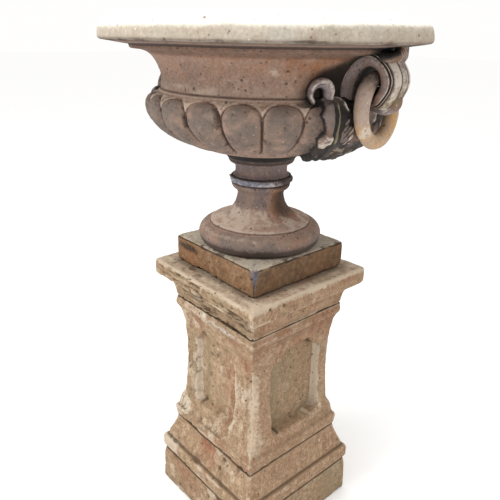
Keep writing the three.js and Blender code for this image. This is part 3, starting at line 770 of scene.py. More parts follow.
    # a dark halo round each handle on the neck, and a dark patch on the ledge beside it: painted shade with soot
    for _, az in HANDLES:
        da = np.abs((A - az + math.pi) % (2 * math.pi) - math.pi) * 225
        reach = np.interp(z, [-110, -86, -56, -37, -16, 0], [152, 150, 124, 84, 62, 66]) + 14 * n1 + 6 * n2
        halo = sstep(reach + 20, reach - 34, da) * sstep(2, -8, z) * (z > -108)
        near = sstep(150, 100, da) * sstep(-100, -108, z) * ON * 0.55
        m["soot"] = np.maximum(m["soot"], F * np.clip(np.maximum(halo * 0.92, near), 0, 1) * (0.9 + 0.2 * n3))
    # painted light: each lobe's left edge is paled as a painted highlight, and the rim's bleached top is paled lower
    # down on the camera's left, where the light falls
    m["pale"] = (F * (0.55 * bead + 0.70 * span * sstep(-0.5, 0.3, n2) + 0.08 * sstep(0.0, 0.5, n2) * neck + 0.50 * band(z, -104.5, -100.5, 1.2) * (R > 226) + 0.38 * slope * bump(R, 318, 6) + 0.32 * neck * sstep(-55, -92, z)
                      + 0.8 * mark * sstep(0.05, 0.3, np.abs(fbm(P, 9, 3, 89))) + 0.24 * neck * sstep(0.15, 0.5, fbm(P, (70, 70, 9), 4, 102)))
                 + 0.30 * lobe_in * np.exp(-((rho - 0.93) / 0.07) ** 2) * (x < 0) + 0.35 * lobe_in * sstep(0.25, 0.6, n3) * (rho < 0.9)
                 + rim * F * (0.12 + 1.1 * sstep(19 + 6 * r_, 39 + 3 * r_, z + 2.5 * n3)) + 0.3 * rim * inside)
    # the band under the rim is also browned as part of its painted shadow
    m["warm"] = (neck * (0.15 + 0.35 * np.clip(n1, 0, 1) + 0.45 * sstep(-75, -35, z) * sstep(-0.6, 0.2, r_) + 0.55 * sstep(0.0, 0.55, r_)) + F * (0.5 * band(z, -30, -10, 3) * (R < 300) + 0.4 * span)
                 + rim * F * (0.45 * sstep(0.15, 0.5, n3) * sstep(30, 5, z) + 0.35 * sstep(0.2, 0.8, r_) * sstep(26, 4, z)) + 0.25 * lobe_in * sstep(0.0, 0.4, fbm(P, 40, 3, 104)) * sstep(-0.2, 0.6, r_))
    m["moss"] = (F * (0.95 * sstep(-0.55, -0.95, r_) * sstep(-80, -104, z) * ON + 0.6 * sstep(-0.4, -0.95, r_) * neck * sstep(-60, -95, z) + 0.95 * sstep(0.99, 0.7, rho) * lobe_in * sstep(-0.6, 0.2, n3 + 0.3 * n2))
                 + rim * F * 0.35 * sstep(0.0, 0.4, fbm(P, 30, 4, 103)))
    # the collar under the lobes is tinted dark purple as painted shade
    m["cool"] = F * (0.35 * mid * sstep(-0.2, 0.4, fbm(P, 24, 4, 106)) + 1.4 * sstep(-231, -236, z) * (R < 118) + 0.35 * sstep(0.1, 0.5, fbm(P, 36, 4, 105)) * (1 - rim)) + 0.4 * rim * sstep(0.0, 0.5, n1)
    return R2, Z2, m


b_outer = [[67, -295], [63, -291], [61, -287], [61, -274], [64, -269], [70, -265.5], [76, -262], [77.5, -258], [78, -255], [82, -249.5], [88, -244], [93, -240.5], [97, -238], [104, -236],
           [113, -234], [135, -228.5], [159, -221.5], [182, -213], [204, -203], [223, -191.5], [240, -178], [252, -164.5], [259, -151], [261.5, -137], [260.5, -125], [256, -115.5], [248, -108.5], [239, -106],
           [231.5, -105], [229.5, -102], [227, -99.5], [226, -98], [224.3, -88], [224.3, -76], [226, -66], [229, -58], [233, -49], [238, -40.5], [244, -33], [250, -28], [257, -24.8], [265, -22.3], [275, -20.6],
           [283, -19], [287, -16.8], [288.5, -14], [288.5, -10.5], [291, -9.3], [302, -8.2], [325, -4.5], [345, -1.5], [349, 1], [350, 3], [350, 6], [349, 15], [347, 23], [344, 30], [338, 37.5], [330, 43.5], [321, 47.5], [312, 49],
           [304, 47.5]]
b_inner = [[298, 45], [289, 34], [284, 12], [262, -4], [234, -20], [205, -50], [197, -80], [203, -104], [228, -122], [232, -140], [220, -160], [190, -180], [140, -196], [80, -206], [24, -210], [20, -214], [20, -294]]


def bowl_step(p):
    z = p[:, 1] - Z_RIM
    out = np.where((z < -104) & (z > -232), 2.8, np.where((z > -30) & (z < 4), 2.3, np.where(z >= 4, 3.4, 4.5)))
    return out * 1.0


_per = 22
_t = np.arange(_per) / _per
_t = _t - 0.6 * np.sin(2 * math.pi * _t) / (2 * math.pi)          # finer by the valleys
bowl = turned("bowl", [[r, Z_RIM + z] for r, z in b_outer], [[r, Z_RIM + z] for r, z in b_inner],
              LOBE_AZ + ((np.arange(LOBES)[:, None] + _t[None, :]) * (2 * math.pi / LOBES)).ravel(), "urn", URN, ["urn_bowl"],
              step=bowl_step, sigma=0.9, shape=bowl_shape, coarse=30.0)
bowl.data.materials.append(RIM)
_n = np.zeros(len(bowl.data.vertices) * 3, np.float32)
bowl.data.vertices.foreach_get("co", _n)
_n = _n.reshape(-1, 3) * 1000
_f = np.zeros(len(bowl.data.loops), np.int32)
bowl.data.loops.foreach_get("vertex_index", _f)
_c = _n[_f.reshape(-1, 4)].mean(1)
_rr = np.hypot(_c[:, 0], _c[:, 1])
bowl.data.polygons.foreach_set("material_index", (((_c[:, 2] > Z_RIM - 1.5) & (_rr > 290)).astype(np.int32)))


# ------------------------------------------------------------------ handles
def to_row(P, az):
    """From the handle's frame (u out, v along the rim, z up) to the row frame."""
    c, s = math.cos(az), math.sin(az)
    return np.stack([P[..., 0] * c - P[..., 1] * s, P[..., 0] * s + P[..., 1] * c, P[..., 2]], -1)


def catmull(points, per):
    p = np.asarray(points, float)
    q = np.concatenate([[2 * p[0] - p[1]], p, [2 * p[-1] - p[-2]]])
    out = []
    for i in range(1, len(q) - 2):
        t = np.linspace(0, 1, per, endpoint=False)[:, None]
        out.append(0.5 * ((2 * q[i]) + (-q[i - 1] + q[i + 1]) * t + (2 * q[i - 1] - 5 * q[i] + 4 * q[i + 1] - q[i + 2]) * t ** 2
                          + (-q[i - 1] + 3 * q[i] - 3 * q[i + 1] + q[i + 2]) * t ** 3))
    return np.concatenate(out + [p[-1:]])


def spline(points, n):
    """Smooth curve through the points, n samples evenly spaced."""
    out = catmull(points, 24)
    L = np.concatenate([[0], np.cumsum(np.linalg.norm(np.diff(out, axis=0), axis=1))])
    t = np.linspace(0, L[-1], n)
    return np.stack([np.interp(t, L, out[:, k]) for k in range(out.shape[1])], -1)


def capped(P):
    """A tube of n closed loops of m points, with its ends closed by a point each."""
    n, m = P.shape[:2]
    verts = np.concatenate([P.reshape(-1, 3), P[0].mean(0)[None], P[-1].mean(0)[None]])
    a, b = n * m, n * m + 1
    j = np.arange(m)
    k = (j + 1) % m
    tris = np.concatenate([np.stack([np.full(m, a), k, j], -1), np.stack([np.full(m, b), (n - 1) * m + j, (n - 1) * m + k], -1)])
    return verts, grid_faces(n, m, False, True), tris


def sweep(centre, side, section):
    """centre (n,3); side (n,3) is the section's second axis; section (n,m,2) in (normal, side)."""
    t = np.gradient(centre, axis=0)
    t /= np.maximum(np.linalg.norm(t, axis=1, keepdims=True), 1e-9)
    side = side - (side * t).sum(1, keepdims=True) * t
    side /= np.maximum(np.linalg.norm(side, axis=1, keepdims=True), 1e-9)
    nrm = np.cross(side, t)
    return capped(centre[:, None] + section[..., :1] * nrm[:, None] + section[..., 1:2] * side[:, None])


def mixed_mesh(name, verts, quads, tris, mask, material, body, replaces):
    import bmesh
    me = bpy.data.meshes.new(name)
    me.from_pydata((np.asarray(verts, float) * 0.001).tolist(), [], quads.tolist() + tris.tolist())
    me.update()
    for p in me.polygons:
        p.use_smooth = True
    bm = bmesh.new()
    bm.from_mesh(me)
    bmesh.ops.recalc_face_normals(bm, faces=bm.faces)
    bm.to_mesh(me)
    bm.free()
    return finish_piece(name, me, mask, material, body, replaces)


def pad(values, fill=0.0):
    return np.concatenate([np.asarray(values).ravel(), [fill, fill]])


RAIL_OUT = [(220, -120), (214, -106), (212, -92), (213, -74), (218, -53), (228, -33), (241, -20.5), (258, -15), (276, -18), (292, -28), (307, -43), (316, -61), (315, -80), (304, -100), (292, -112), (279, -116)]
RAIL_IN = [(240, -122), (239, -108), (239, -95), (241, -80), (245, -66), (250, -55), (257, -47), (266, -43), (275, -45), (284, -51), (288, -60), (290.5, -71), (287.5, -82), (282, -92), (277, -100), (273, -109)]
FACE_Q = [0, .04, .08, .12, .16, .20, .26, .34, .45, .58, .70, .82, .92, 1]
FACE_H = [-1.6, 0.4, -1.0, -4.4, -4.0, -1.6, 0.4, 1.4, 1.6, 1.3, 0.6, -1.2, -3.8, -7.5]


def scroll(tag, az):
    """Volute band round the ring's eye: reeded outside, ridged side faces, with a fluted tongue that runs up to the rim and a tail that turns back under the ring."""
    per = 9
    O, I = catmull(RAIL_OUT, per), catmull(RAIL_IN, per)
    if tag == "b":
        O[:, 0] -= 11.0 * sstep(0.45, 0.72, np.linspace(0, 1, len(O))) * sstep(1.0, 0.9, np.linspace(0, 1, len(O)))
    n = len(O)
    out = (O - I) / np.linalg.norm(O - I, axis=1, keepdims=True)
    t = np.linspace(0, 1, n)
    v = np.linspace(-36, 36, 41)
    av = np.abs(v)
    crown = (13 if tag == "a" else 4) * (1 - (av / 38) ** 4) - 2.6
    reed = np.where(av < 13.5, 1.6 * (1 - (v / 13.5) ** 2), 1.6 * np.clip(1 - ((av - 24) / 10.5) ** 2, 0, 1)) - 5.0 * np.exp(-((av - 13.6) / 1.9) ** 2) - 2.0 * np.exp(-((av - 34) / 1.6) ** 2)
    grow = sstep(0.0, 0.10, t) * sstep(1.0, 0.93, t)
    h_out = (crown + reed)[None, :] * (0.25 + 0.75 * grow)[:, None]
    wid = (0.86 + 0.14 * sstep(0.0, 0.10, t) - 0.22 * sstep(0.86, 1.0, t)) * (1.0 if tag == "a" else 0.86)
    flare = 20.0 * sstep(0.50, 0.12, t)
    outer = np.stack([O[:, None, 0] + out[:, None, 0] * h_out, v[None, :] * (wid + flare / 36)[:, None] + 0 * h_out, O[:, None, 1] + out[:, None, 1] * h_out], -1)
    q, fh = np.array(FACE_Q), np.array(FACE_H)
    mid = O[:, None] + (I - O)[:, None] * q[None, :, None]
    side_p = np.stack([mid[..., 0], (36 + fh)[None, :] * wid[:, None] + flare[:, None] * (1 - q)[None, :] ** 1.3, mid[..., 1]], -1)
    side_m = side_p * np.array([1, -1, 1])
    vi = np.linspace(28, -28, 13)[1:-1]
    inner = np.stack([I[:, None, 0] + 0 * vi[None, :], vi[None, :] * wid[:, None], I[:, None, 1] + 0 * vi[None, :]], -1)
    # the turn's far inner edge swells into the eye
    nub = np.exp(-((vi - 14) / 9.0) ** 2)[None, :] * (sstep(0.80, 0.86, t) * sstep(1.0, 0.95, t))[:, None]
    inner[..., 0] -= 20.0 * nub
    inner[..., 2] += 11.0 * nub
    P = np.concatenate([outer, side_p[:, 1:], inner, side_m[:, :0:-1]], 1)
    m_o, m_s, m_i = outer.shape[1], len(q) - 1, inner.shape[1]
    verts, quads, tris = capped(P)
    verts = verts + np.array([0, 0, Z_RIM])
    verts = to_row(verts, az)
    jitter = fbm(verts, 9, 3, 91)
    verts = verts * 1.0
    verts[:, :2] *= (1 + 0.0016 * jitter)[:, None]
    # the root ends inside the bowl's wall
    rr = np.hypot(verts[:, 0], verts[:, 1])
    root = np.interp(verts[:, 2] - Z_RIM, [-200, -180, -160, -140, -122, -104, -80, -50, -30, -20, -4, 12, 34, 45], [140, 200, 228, 240, 238, 213, 207, 214, 232, 244, 270, 287, 292, 300])
    verts[:, :2] *= (np.maximum(rr, root) / rr)[:, None]
    m = P.shape[1]
    lab = np.zeros((n, m))
    lab[:, :m_o] = 1                                     # reeded outside
    on_side = np.zeros((n, m))
    on_side[:, m_o:m_o + m_s] = 1
    on_side[:, m_o + m_s + m_i:] = 1
    Q = np.zeros((n, m))
    Q[:, m_o:m_o + m_s] = q[None, 1:]
    Q[:, m_o + m_s:m_o + m_s + m_i] = 1
    Q[:, m_o + m_s + m_i:] = q[None, :0:-1]
    V = np.zeros((n, m))
    V[:, :m_o] = v[None, :]
    aV = np.abs(V)
    T = np.broadcast_to(t[:, None], (n, m))
    inside = 1 - lab - on_side
    j = jitter[:-2].reshape(n, m)
    j2 = fbm(verts, 22, 3, 93)[:-2].reshape(n, m)
    groove = lab * (np.exp(-((aV - 13.6) / 2.6) ** 2) + 0.8 * np.exp(-((aV - 34) / 1.8) ** 2))
    reed_top = lab * (1 - np.clip(groove, 0, 1)) * sstep(0.56, 0.66, T)
    low = sstep(0.72, 0.86, T)
    edge_line = on_side * np.exp(-((Q - 0.04) / 0.035) ** 2)
    ridge2 = on_side * np.exp(-((Q - 0.27) / 0.045) ** 2)
    lip = on_side * band(Q, 0.09, 0.21, 0.02)
    # painted light and shade on the volute: the reed crests are pale partly as painted highlight, the outer edge line
    # and the side ridge are paled as painted highlight, and the left leg's side face is lightened as painted light; the
    # reed grooves, the side groove and the face by the eye are darkened as painted shade with dirt; the eye's inside
    # and the strap's top under the rim are blacked as painted shadow
    mk = masks((n, m),
               pale=reed_top * (0.80 + 0.5 * j) * (1 - 0.45 * low) * (0.55 + 0.45 * sstep(4, 16, aV)) + 0.75 * edge_line * sstep(-0.4, 0.2, j + 0.3 * sstep(0.2, 0.4, T)) + 0.60 * ridge2 * sstep(-0.5, 0.1, j)
               + 0.30 * on_side * sstep(0.9, 0.6, T) * bump(Q, 0.55, 0.25) * sstep(0.1, 0.5, j2),
               cool=on_side * bump(Q, 0.52, 0.32) * 0.85 + 0.5 * on_side * sstep(0.20, 0.05, T),
               dirt=0.95 * groove + 0.80 * lip + 0.6 * on_side * sstep(0.80, 0.95, Q) + 0.3 * sstep(0.15, 0.5, -j) * (1 - lab),
               warm=reed_top * 0.55 * sstep(0.1, 0.5, j2) + 0.35 * low * lab + on_side * (0.2 + 0.4 * sstep(0.35, 0.6, T)),
               moss=reed_top * low * 0.9, soot=0.9 * inside + 0.35 * on_side * sstep(0.86, 1.0, Q) + 0.9 * lab * sstep(0.64, 0.56, T))
    mk = {k: pad(np.clip(val, 0, 1), val[-1, 0]) for k, val in mk.items()}
    name = f"handle_{tag}_scroll"
    mixed_mesh(f"handle_{tag}_volute_band", verts, quads, tris, mk, DARK, "urn", [name])

    def ribbon(piece, path, half, thick, flutes, shade, seed, deep, turn, shift=(0, 0)):
        line = spline(path, 40)
        k = len(line)
        hw = np.interp(np.linspace(0, 1, k), np.linspace(0, 1, len(half)), half)
        e = np.linspace(-1, 1, 25)
        fl = (np.cos(e * math.pi * flutes) ** 2 - 0.5) * 0.32
        top = np.stack([thick * (1 - 0.55 * np.abs(e) ** 3 + fl), e], -1)
        bot = np.stack([-deep * (1 - 0.3 * np.abs(e[::-1]) ** 3)[1:-1], 0.92 * e[::-1][1:-1]], -1)
        loop = np.concatenate([top, bot])
        taper = np.clip(np.minimum(np.linspace(0, 1, k), np.linspace(1, 0, k)) * 12 + 0.35, 0, 1)
        sec = np.stack([loop[None, :, 0] * taper[:, None], loop[None, :, 1] * hw[:, None]], -1)
        centre = np.stack([line[:, 0], np.interp(np.linspace(0, 1, k), np.linspace(0, 1, len(shift)), shift), line[:, 1] + Z_RIM], -1)
        vv, qq, tt = sweep(centre, np.tile([0.0, turn, 0.0], (k, 1)), sec)
        vv = to_row(vv, az)
        jj = fbm(vv, 10, 4, seed)
        face = np.zeros((k, len(loop)))
        face[:, :25] = 1
        crest = np.zeros((k, len(loop)))
        crest[:, :25] = np.cos(e * math.pi * flutes) ** 2
        TT = np.broadcast_to(np.linspace(0, 1, k)[:, None], face.shape)
        EE = np.zeros(face.shape)
        EE[:, :25] = e
        mm = shade(face, crest, TT, EE, jj[:-2].reshape(face.shape))
        mm = {key: pad(np.clip(val, 0, 1)) for key, val in mm.items()}
        mixed_mesh(f"handle_{tag}_{piece}", vv, qq, tt, mm, DARK, "urn", [name])

    def tongue_shade(face, crest, T, E, j):
        # the flute crests are paled as painted highlight; the hollows between flutes, the underside and the root's near
        # side are darkened and blacked as painted shade
        return masks(face.shape, pale=face * sstep(0.45, 0.9, crest) * (0.75 + 0.6 * j) * (1 - 0.6 * sstep(-0.4, -0.9, E)), warm=face * (0.9 * bump(E, -0.1, 0.35) + 0.3 + 0.8 * sstep(-0.3, -0.8, E)), dirt=0.9 * face * sstep(0.4, 0.1, crest) * sstep(0.2, 0.5, T) + 0.8 * (1 - face),
                     soot=1.0 * (1 - face) + face * sstep(0.30, 0.12, T) * sstep(0.3, -0.6, E))

    def tail_shade(face, crest, T, E, j):
        out = sstep(0.28, 0.36, T) * sstep(0.78, 0.7, T)
        up = 1 - face
        # the flute hollows and both ends, where the tail meets the strap and the bowl, are darkened as painted shade
        return masks(face.shape, pale=0.75 * up * out * (0.8 + 0.6 * j) + 0.35 * face * out * sstep(0.5, 0.9, crest) * sstep(-0.2, 0.3, j), warm=0.95 * sstep(0.34, 0.22, T) * sstep(-0.5, 0.2, j + 0.2) + 0.95 * sstep(0.72, 0.86, T),
                     moss=0.9 * bump(T, 0.13, 0.08) * sstep(-0.2, 0.8, E) + 0.5 * sstep(0.85, 1.0, T), cool=0.8 * out, dirt=0.4 * face * sstep(0.3, 0.05, crest) + 0.5 * sstep(0.92, 1.0, T), soot=0.35 * sstep(0.10, 0.0, T))

    ribbon("tongue", [(288, -26), (302, -29), (311, -27), (315, -19), (315, -10), (314, -1)], [28, 32, 31, 22, 16, 17], 5.0, 3.0, tongue_shade, 131, 15.0, 1.0, (-4, -8, -8, 0, 5, 5))
    ribbon("tail", [(309, -88), (314, -98), (313, -110), (305, -118), (293, -121), (280, -119), (270, -117), (262, -124), (256, -136)], [12, 17, 19, 20, 21, 20, 18, 15, 11], 7.5, 2.0, tail_shade, 141, 7.0, -1.0)


def ring(tag, az):
    n, m = ((160, 44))
    a = np.linspace(0, 2 * math.pi, n, endpoint=False)
    b = np.linspace(0, 2 * math.pi, m, endpoint=False)
    A, B = np.meshgrid(a, b, indexing="ij")
    tube = RING_T + 1.8 * bump(A, math.radians(152), math.radians(38)) + 0.9 * np.cos(A - 0.4) + 0.7 * vnoise(np.stack([np.cos(A), np.sin(A), 0 * A], -1), 0.55, 94)
    x = tube * np.cos(B) * 0.96
    y = (RING_R + tube * np.sin(B)) * np.cos(A)
    z = (RING_R + tube * np.sin(B)) * np.sin(A) - RING_R
    nn = np.stack([np.cos(B), np.sin(B) * np.cos(A), np.sin(B) * np.sin(A)], -1)
    base = np.stack([x, y, z], -1)
    base = base + nn * (-0.3 - 0.7 * fbm(base, 22, 3, 95) - 0.6 * np.abs(fbm(base, 7, 3, 96)) - 1.6 * pits(base, 15, 0.2, 97))[..., None]
    c, s = math.cos(RING_LEAN), math.sin(RING_LEAN)
    x, z = base[..., 0] * c - base[..., 2] * s, base[..., 0] * s + base[..., 2] * c
    c, s = math.cos(RING_TWIST), math.sin(RING_TWIST)
    x, y = x * c - base[..., 1] * s, x * s + base[..., 1] * c
    P = to_row(np.stack([x + RING_U, y, z + RING_Z + RING_R + Z_RIM], -1), az)
    top = sstep(0.50, 0.90, np.sin(A))
    leftlimb = sstep(0.2, -0.7, np.cos(A)) * sstep(-0.75, -0.2, np.sin(A))
    low = sstep(-0.1, -0.7, np.sin(A))
    right = sstep(0.1, 0.7, np.cos(A))
    n1, n2 = fbm(P, 18, 4, 98), fbm(P, 40, 3, 99)
    inner = sstep(-0.5, -0.95, np.sin(B))
    if tag == "b":
        top, right = np.ones(A.shape), 0 * A
    # the left limb is paled and greyed as painted light, and the ring's inside is darkened as painted shade
    mk = masks(A.shape, dirt=0.35 * top + 0.30 * sstep(0.2, 0.5, n1) * (1 - 0.6 * right) + 0.15 * inner * (1 - right),
               moss=0.9 * top + 0.5 * right * sstep(0.0, 0.8, np.sin(A)), warm=0.9 * low * sstep(-0.3, 0.5, n2) + 0.5 * right + 0.25,
               cool=0.95 * leftlimb * (0.9 + 0.4 * n1) + 0.9 * right * inner, pale=0.55 * sstep(-0.1, 0.5, n1) * (0.5 + 0.5 * leftlimb) + 0.35 * low * sstep(0, 0.4, n2))
    mesh_from(f"handle_{tag}_ring_full", P.reshape(-1, 3), grid_faces(n, m)[:, ::-1], clip_masks(mk), BUFF, f"ring_{tag}", [f"handle_{tag}_ring"])


def bowl_r(z):
    """Outer radius of the bowl at a height under the rim's lower edge, on the wide part."""
    pts = [(r, q) for r, q in b_outer if -240 <= q <= -22 and r > 90]
    q = np.array([p[1] for p in pts])
    r = np.array([p[0] for p in pts])
    order = np.argsort(q)
    return np.interp(z, q[order], r[order])


def curl(tag, az, sign, node):
    """Small side volute: a horseshoe band, thin on its outer limb and broad by the leaf, that stands out from the neck."""
    n = 110
    th = np.radians(np.linspace(232, -52, n))            # from the outer limb's end, over the top, to the leaf's side
    co, si = np.cos(th), np.sin(th)
    Ro = 27.0 + 0 * th
    ex, ez, Ri = -6.5, -3.0, 11.5
    # inner edge: distance from the band's centre to the offset eye
    ki = ex * co + ez * si + np.sqrt(np.clip(Ri ** 2 - (ex * si - ez * co) ** 2, 0, None))
    po, qo = Ro * co, Ro * si
    pi_, qi = ki * co, ki * si
    t = np.linspace(0, 1, n)
    down = sstep(0.80, 1.0, t)
    po, qo = po - 5 * down, qo - 9 * down
    pi_, qi = pi_ + 1 * down, qi - 7 * down
    k = np.linspace(0, 1, 17)                             # across the band, 0 outside, 1 at the eye
    p = po[:, None] * (1 - k) + pi_[:, None] * k
    q = qo[:, None] * (1 - k) + qi[:, None] * k
    rib = 5.0 * np.sin(np.clip(k, 0, 1) ** 0.75 * math.pi) - 4.5 * sstep(0.8, 1.0, k) - 3.0 * sstep(0.12, 0.0, k)
    lines = 3.0 * bump(k, 0.55, 0.07) + 1.6 * bump(k, 0.80, 0.06)
    high = 13.0 + 5.0 * np.sin(t * math.pi)[:, None] + rib[None, :] - lines[None, :] * sstep(0.62, 0.40, t)[:, None]
    high = high * (0.55 + 0.45 * sstep(0, 0.08, t) * sstep(1, 0.94, t))[:, None] * (0.25 if tag == "b" and sign > 0 else 1.0)
    front = np.stack([p, q, high], -1)
    kb = k[::-1][1:-1]
    pb = po[:, None] * (1 - kb) + pi_[:, None] * kb
    qb = qo[:, None] * (1 - kb) + qi[:, None] * kb
    back = np.stack([pb, qb, np.full(pb.shape, -4.0)], -1)
    loop = np.concatenate([front, back], 1)
    zc = -87.0 + loop[..., 1]
    base = 226.0 + 5.0 * sstep(-92, -104, zc)
    ang = math.radians(27.0) * sign - sign * loop[..., 0] / 236.0
    r = base + loop[..., 2]
    P = np.stack([r * np.cos(ang), r * np.sin(ang), Z_RIM + zc], -1)
    verts, quads, tris = capped(P)
    verts = to_row(verts, az)
    j = fbm(verts, 8, 3, 111)[:-2].reshape(P.shape[:2])
    F = np.zeros(P.shape[:2])
    F[:, :17] = 1
    K = np.zeros(P.shape[:2])
    K[:, :17] = k
    K[:, 17:] = 1
    T = np.broadcast_to(t[:, None], F.shape)
    # the band's outer slope and its tip are paled as painted highlight; the grooves, the face by the eye and the back
    # are darkened and blacked as painted shade
    mk = masks(F.shape, pale=F * (0.50 * bump(K, 0.28, 0.24) * (0.9 + 0.7 * j) + 0.9 * sstep(0.94, 1.0, T) + 0.08), cool=F * 0.9,
               dirt=0.8 * F * (bump(K, 0.55, 0.05) + bump(K, 0.80, 0.04)) * sstep(0.62, 0.40, T) + 0.5 * F * sstep(0.82, 1, K) + 0.9 * (1 - F), soot=0.75 * (1 - F) + 0.5 * F * sstep(0.85, 1.0, K))
    mk = {key: pad(np.clip(val, 0, 1), val[-1, 8]) for key, val in mk.items()}
    mixed_mesh(f"handle_{tag}_curl_band_{'right' if sign > 0 else 'left'}", verts, quads, tris, mk, DARK, "urn", [node])


def leaf(tag, az):
    """Acanthus leaf laid over the gadroons: a thick fold at each side, a channel darkened with painted shade, a ribbed
    strip, and a curled tip in the middle, behind the ring.
    """
    na = 300
    # down the outline
    z = np.concatenate([np.linspace(-98, -136, 34), np.linspace(-136, -226, 100)[1:]])
    r = np.where(z > -106, np.interp(z, [-106, -98], [bowl_r(-106.0), 231.0]), bowl_r(z))
    seg = np.concatenate([[0], np.cumsum(np.hypot(np.diff(r), np.diff(z)))])
    ns = 150
    s = np.linspace(0, seg[-1], ns)
    r, z = np.interp(s, seg, r), np.interp(s, seg, z)
    phi = np.linspace(-31, 31, na)
    S, PH = np.meshgrid(s, phi, indexing="ij")
    F = np.abs(PH)
    base = np.stack([np.radians(PH) * 240, S, 0 * S], -1)
    n1, n2 = fbm(base, 14, 4, 121), fbm(base, 30, 3, 122)
    sb = S - 9.0                                          # from the ledge's foot
    edge = 30.6 - 2.4 * np.abs(np.sin(S / 15.0 + 0.4)) - 1.2 * n1 - 3.6 * sstep(112, 150, S) - 3 * sstep(170, 205, S)
    lift = 3.0 + 1.2 * n1
    fold = np.clip(1 - ((F - 27.0) / 3.4) ** 2, 0, 1) ** 0.6 * band(sb, 18, 74, 6) * 11.0
    patch = np.clip(1 - ((F - 26.2) / 3.4) ** 2 - ((sb - 82) / 20.0) ** 2, 0, 1) ** 0.5 * (11.0 + 6.0 * n1)
    strip = band(F, 12.6, 17.8, 0.6) * band(sb, 40, 86, 4)
    zig = np.abs(((sb - (F - 18) * 4.0 + 2.0 * n1) / 10.0) % 1.0 - 0.5) * 2
    strip_h = strip * (2.5 + 3.6 * zig - 1.5 * np.exp(-((F - 15.3) / 0.35) ** 2)) * (0.7 + 0.3 * sstep(30, 60, sb))
    ridge_f = np.interp(sb, [-11, 6, 30], [25.5, 20.0, 15.8])
    ridge = np.exp(-((F - ridge_f) / 0.55) ** 2) * band(sb, -12, 30, 4) * 4.0
    shoulder = band(F, 16, 27, 1.5) * band(sb, -8, 20, 5) * 6.0
    spine = np.exp(-(PH / 2.2) ** 2) * band(sb, -12, 200, 10) * 4.0
    veins = 3.0 * (np.abs(np.sin(sb / 13.0 - F * 0.30)) ** 0.8) * band(F, 2.5, 14.0, 1.0) * (0.35 + 0.65 * sstep(70, 100, sb))
    tip = 13.0 * np.exp(-((PH - 0.8) / 4.6) ** 2) * np.exp(-((sb - 30) / 11.0) ** 2) + 7.0 * np.exp(-((PH + 0.5) / 3.2) ** 2) * np.exp(-((sb - 48) / 7.0) ** 2)
    lower = band(sb, 100, 205, 8) * 5.0 * np.abs(np.sin(F * 0.42 + sb * 0.045 + 1.2 * n1)) ** 1.2 + 9.0 * band(sb, 70, 175, 14) * sstep(27, 20, F) + 4.0 * band(sb, 110, 200, 10) * sstep(18, 26, F)
    rib = np.exp(-((F - 21.3) / 0.7) ** 2) * band(sb, 18, 96, 6) * 3.2
    h = lift + fold + patch + strip_h + ridge + shoulder + spine + veins + tip + lower + rib
    # inside the pale ridge the leaf is cut away down to the wall, but for the tip in the middle
    cut = sstep(34, 26, sb) * sstep(ridge_f - 0.2, ridge_f - 1.6, F) * sstep(5.0, 8.0, F)
    h = h * (1 - cut) + 0.3 * cut
    # close to the ring's sides the leaf stays low
    near_ring = band(F, 8.5, 16.5, 1.0) * band(sb, -20, 60, 8)
    h = np.where(near_ring > 0.05, np.minimum(h, 3.4 + 12 * (1 - near_ring)), h)
    if tag == "b":
        h = h * (1 - 0.7 * sstep(16, 22, PH) * sstep(30, 5, sb))
    h = h * sstep(0.0, 1.4, edge - F) * sstep(-1, 5, S) * sstep(seg[-1] + 1, seg[-1] - 10 - 6 * n1, S) - 4.0 * (1 - sstep(0.0, 1.2, edge - F))
    ang = np.radians(PH)
    dr, dz = np.gradient(r), np.gradient(z)
    nr, nz = -dz, dr
    L = np.hypot(nr, nz)
    nr, nz = (nr / L)[:, None], (nz / L)[:, None]

    def surf(off):
        rr = r[:, None] + nr * off
        return np.stack([rr * np.cos(ang), rr * np.sin(ang), Z_RIM + z[:, None] + nz * off], -1)

    front, back = surf(h), surf(np.minimum(h - 3.5, -5.0))
    P = np.concatenate([front.reshape(-1, 3), back.reshape(-1, 3)])
    f1 = grid_faces(ns, na, False, False)
    f2 = f1[:, ::-1] + ns * na
    rim_i = np.concatenate([np.arange(na), np.arange(1, ns) * na + na - 1, (ns - 1) * na + np.arange(na - 2, -1, -1), np.arange(ns - 2, 0, -1) * na])
    jn = np.roll(rim_i, -1)
    f3 = np.stack([rim_i, rim_i + ns * na, jn + ns * na, jn], -1)
    P = to_row(P, az)
    low = sstep(7, 3, h)
    fold_on = sstep(2, 7, fold)
    patch_on = sstep(2.5, 6, patch)
